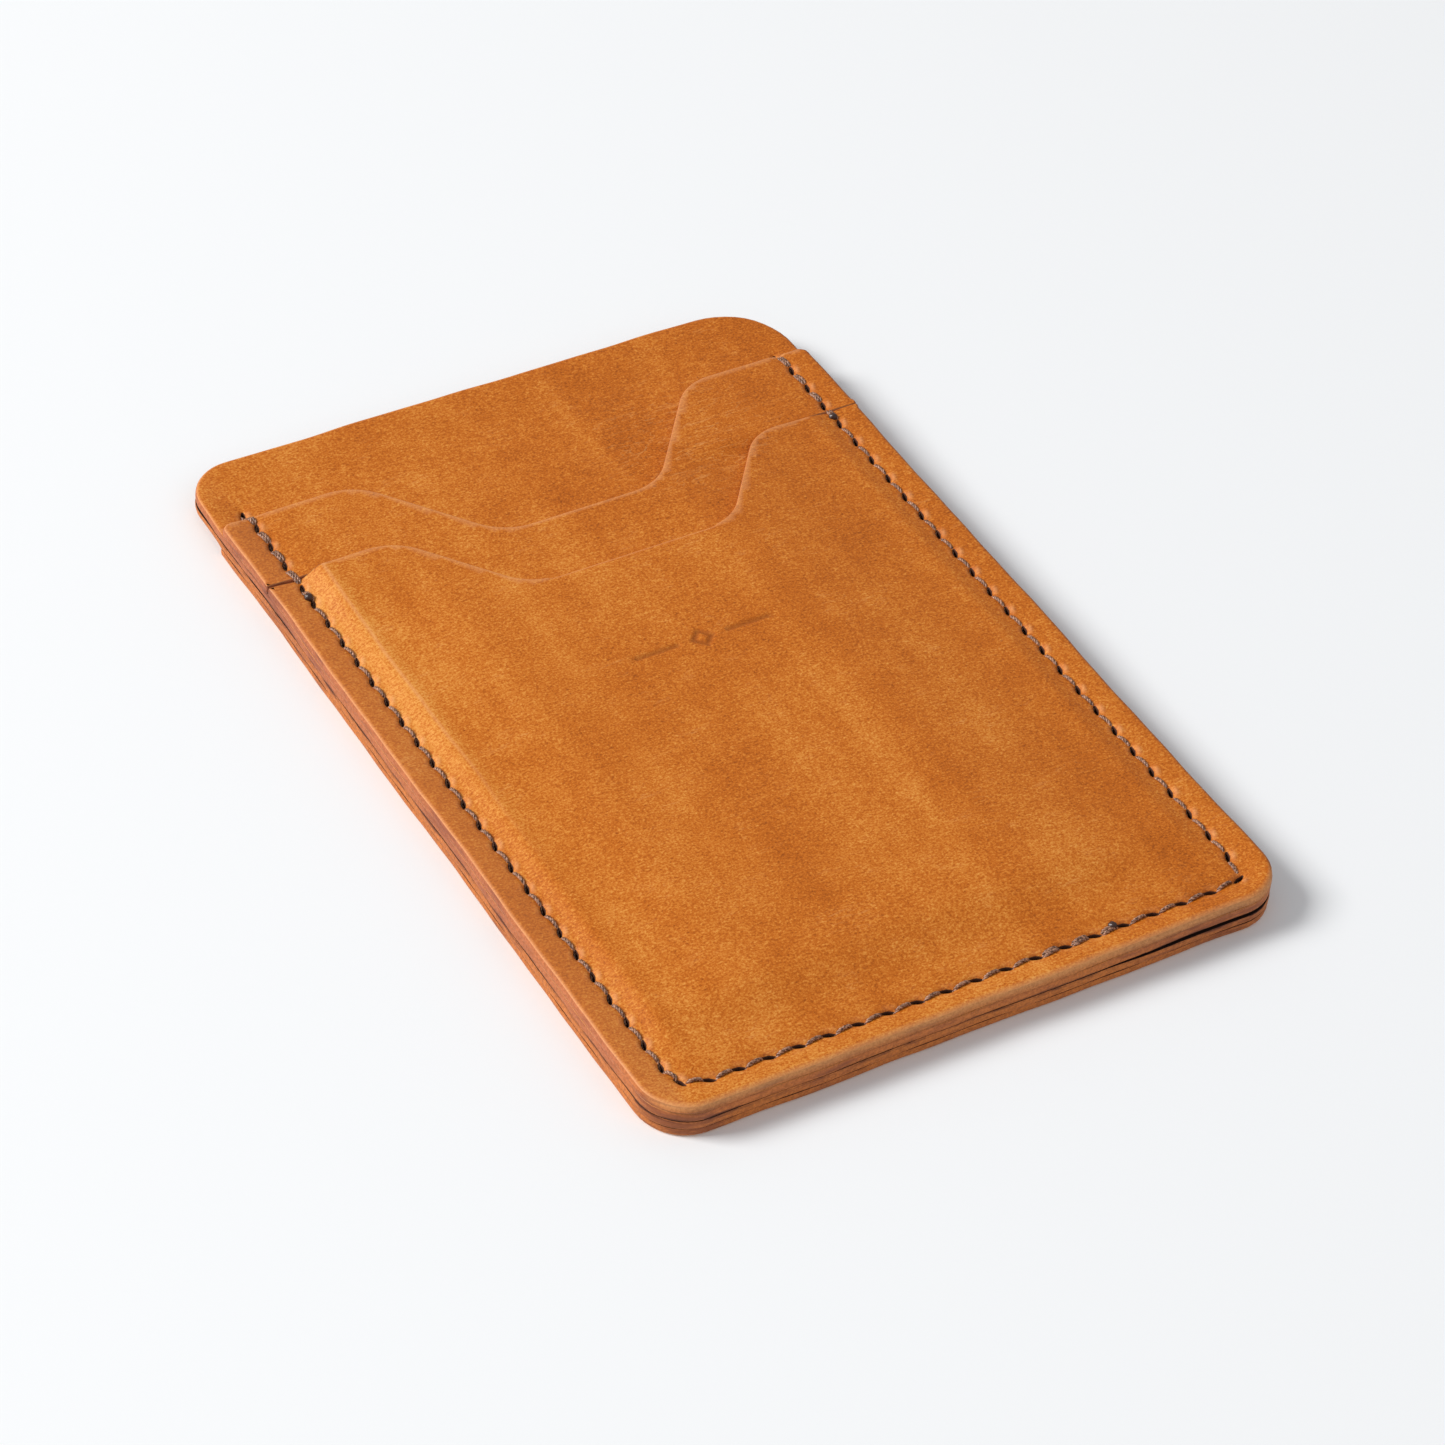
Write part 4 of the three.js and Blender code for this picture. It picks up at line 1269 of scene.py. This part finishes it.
class CARDHOLDER_OT_panels(bpy.types.Operator):
    """Makes the two full panels, with the note sleeve open between them."""

    bl_idname = "card_holder.panels"
    bl_label = "Panels"

    def execute(self, context):
        faces = front_panel_top, front_panel_under
        place = "front_panel_piece", "panel_leather", "front_panel"
        lay_leather(*place, panel_outline(), faces, panel_rims, HOLES, 12, ["back_panel"])

        faces = back_panel_top, back_panel_under
        place = "back_panel_piece", "panel_leather", "back_panel"
        rims = lambda points: panel_rims(points)[::-1]
        lay_leather(*place, panel_outline(), faces, rims, HOLES, 13, ["back_pocket"], grain_down=True)
        return {"FINISHED"}


class CARDHOLDER_OT_upper_pocket(bpy.types.Operator):
    """Makes the T-shaped upper pocket, with its ears out to the side seams."""

    bl_idname = "card_holder.upper_pocket"
    bl_label = "Upper pocket"

    def execute(self, context):
        faces = upper_pocket_top, upper_pocket_under
        place = "upper_pocket_piece", "pocket_leather", "upper_pocket"
        holes = holes_between(FRONT_MOUTH + 0.9, UPPER_MOUTH - 0.9)
        lay_leather(*place, upper_pocket_outline(), faces, upper_pocket_rims, holes, 14, ["front_panel"])
        return {"FINISHED"}


class CARDHOLDER_OT_front_pocket(bpy.types.Operator):
    """Makes the front pocket, formed over the upper pocket's body."""

    bl_idname = "card_holder.front_pocket"
    bl_label = "Front pocket"

    def execute(self, context):
        outline = pocket_outline(FRONT_MOUTH, FRONT_CURVE)
        faces, holes = (front_pocket_top, front_pocket_under), holes_between(BOTTOM, FRONT_MOUTH - 0.9)
        place = "front_pocket_piece", "pocket_leather", "front_pocket"
        rests_on, more = ["upper_pocket", "front_panel"], {"fine": front_pocket_fine, "pressing": ornament}
        lay_leather(*place, outline, faces, front_pocket_rims, holes, 15, rests_on, **more)
        return {"FINISHED"}


class CARDHOLDER_OT_side_seams(bpy.types.Operator):
    """Makes the four threads that join the layers round the outside."""

    bl_idname = "card_holder.side_seams"
    bl_label = "Side seams"

    def execute(self, context):
        tack = context.scene.card_holder_stitching.back_tack
        middle = MARGIN_TOP / 2
        left_end, right_end = len(LEFT_SEAM) - 1, len(RIGHT_SEAM) - 1
        left = [(tack, 0, 0.18), (0, tack, 0.18), (tack, left_end - OVERLAP, 0.0), (left_end - OVERLAP, left_end, 0.18)]
        right = [(tack - 1, 0, 0.18), (0, tack - 1, 0.18)]
        right += [(tack - 1, right_end - OVERLAP, 0.0), (right_end - OVERLAP, right_end, 0.18)]
        for name, seam, passes in (("left", LEFT_SEAM, left), ("right", RIGHT_SEAM, right)):
            needle = stitched_path(seam, passes, front_height, 1, middle + 0.3)
            # a cut end lies on the leather beside its hole, melted into a bead, and the right seam's last one is sunk
            needle = needle[4:-6] if name == "left" else needle[4:]
            piece = twist(name + "_needle_thread_piece", needle, 0.5)
            settle(piece, "thread", name + "_seam_needle_thread")
            bobbin = sunk_path(seam, passes, middle - 0.3)
            piece = twist(name + "_bobbin_thread_piece", bobbin, 0.2)
            settle(piece, "thread", name + "_seam_bobbin_thread")
        return {"FINISHED"}


class CARDHOLDER_OT_foot_seam(bpy.types.Operator):
    """Makes the two threads that close the upper pocket's foot."""

    bl_idname = "card_holder.foot_seam"
    bl_label = "Foot seam"

    def execute(self, context):
        last = len(FOOT_ROW) - 1
        middle = (FRONT_PANEL_LEVEL + MARGIN_TOP) / 2
        needle = stitched_path(FOOT_ROW, [(0, last, 0.0)], lambda x, y: MARGIN_TOP - 0.42, 1, middle + 0.2)
        piece = twist("foot_needle_thread_piece", needle, 0.2)
        settle(piece, "thread", "foot_seam_needle_thread")
        bobbin = stitched_path(FOOT_ROW, [(0, last, 0.0)], lambda x, y: FRONT_PANEL_LEVEL + 0.42, -1, middle - 0.2)
        piece = twist("foot_bobbin_thread_piece", bobbin, 0.2)
        settle(piece, "thread", "foot_seam_bobbin_thread")
        return {"FINISHED"}


class CARDHOLDER_PT_build(bpy.types.Panel):
    """Lists the pieces in the order that they are made."""

    bl_label = "Card Holder"
    bl_idname = "CARDHOLDER_PT_build"
    bl_space_type = "VIEW_3D"
    bl_region_type = "UI"
    bl_category = "Card Holder"

    def draw(self, context):
        layout = self.layout
        scene = context.scene
        for settings in (scene.card_holder_leather, scene.card_holder_stitching, scene.card_holder_stage):
            box = layout.box()
            for name in type(settings).__annotations__:
                box.prop(settings, name)
        for operator in OPERATORS:
            layout.operator(operator.bl_idname)


GROUPS = (CardHolderLeather, CardHolderStitching, CardHolderStage)
OPERATORS = (
    CARDHOLDER_OT_stage,
    CARDHOLDER_OT_back_pocket,
    CARDHOLDER_OT_panels,
    CARDHOLDER_OT_upper_pocket,
    CARDHOLDER_OT_front_pocket,
    CARDHOLDER_OT_side_seams,
    CARDHOLDER_OT_foot_seam,
)


def register():
    for made in (*GROUPS, *OPERATORS, CARDHOLDER_PT_build):
        bpy.utils.register_class(made)
    bpy.types.Scene.card_holder_leather = bpy.props.PointerProperty(type=CardHolderLeather)
    bpy.types.Scene.card_holder_stitching = bpy.props.PointerProperty(type=CardHolderStitching)
    bpy.types.Scene.card_holder_stage = bpy.props.PointerProperty(type=CardHolderStage)


def unregister():
    del bpy.types.Scene.card_holder_stage
    del bpy.types.Scene.card_holder_stitching
    del bpy.types.Scene.card_holder_leather
    for made in reversed((*GROUPS, *OPERATORS, CARDHOLDER_PT_build)):
        bpy.utils.unregister_class(made)


def main():
    register()
    for operator in OPERATORS:
        family, name = operator.bl_idname.split(".")
        getattr(getattr(bpy.ops, family), name)()


if __name__ == "__main__":
    main()
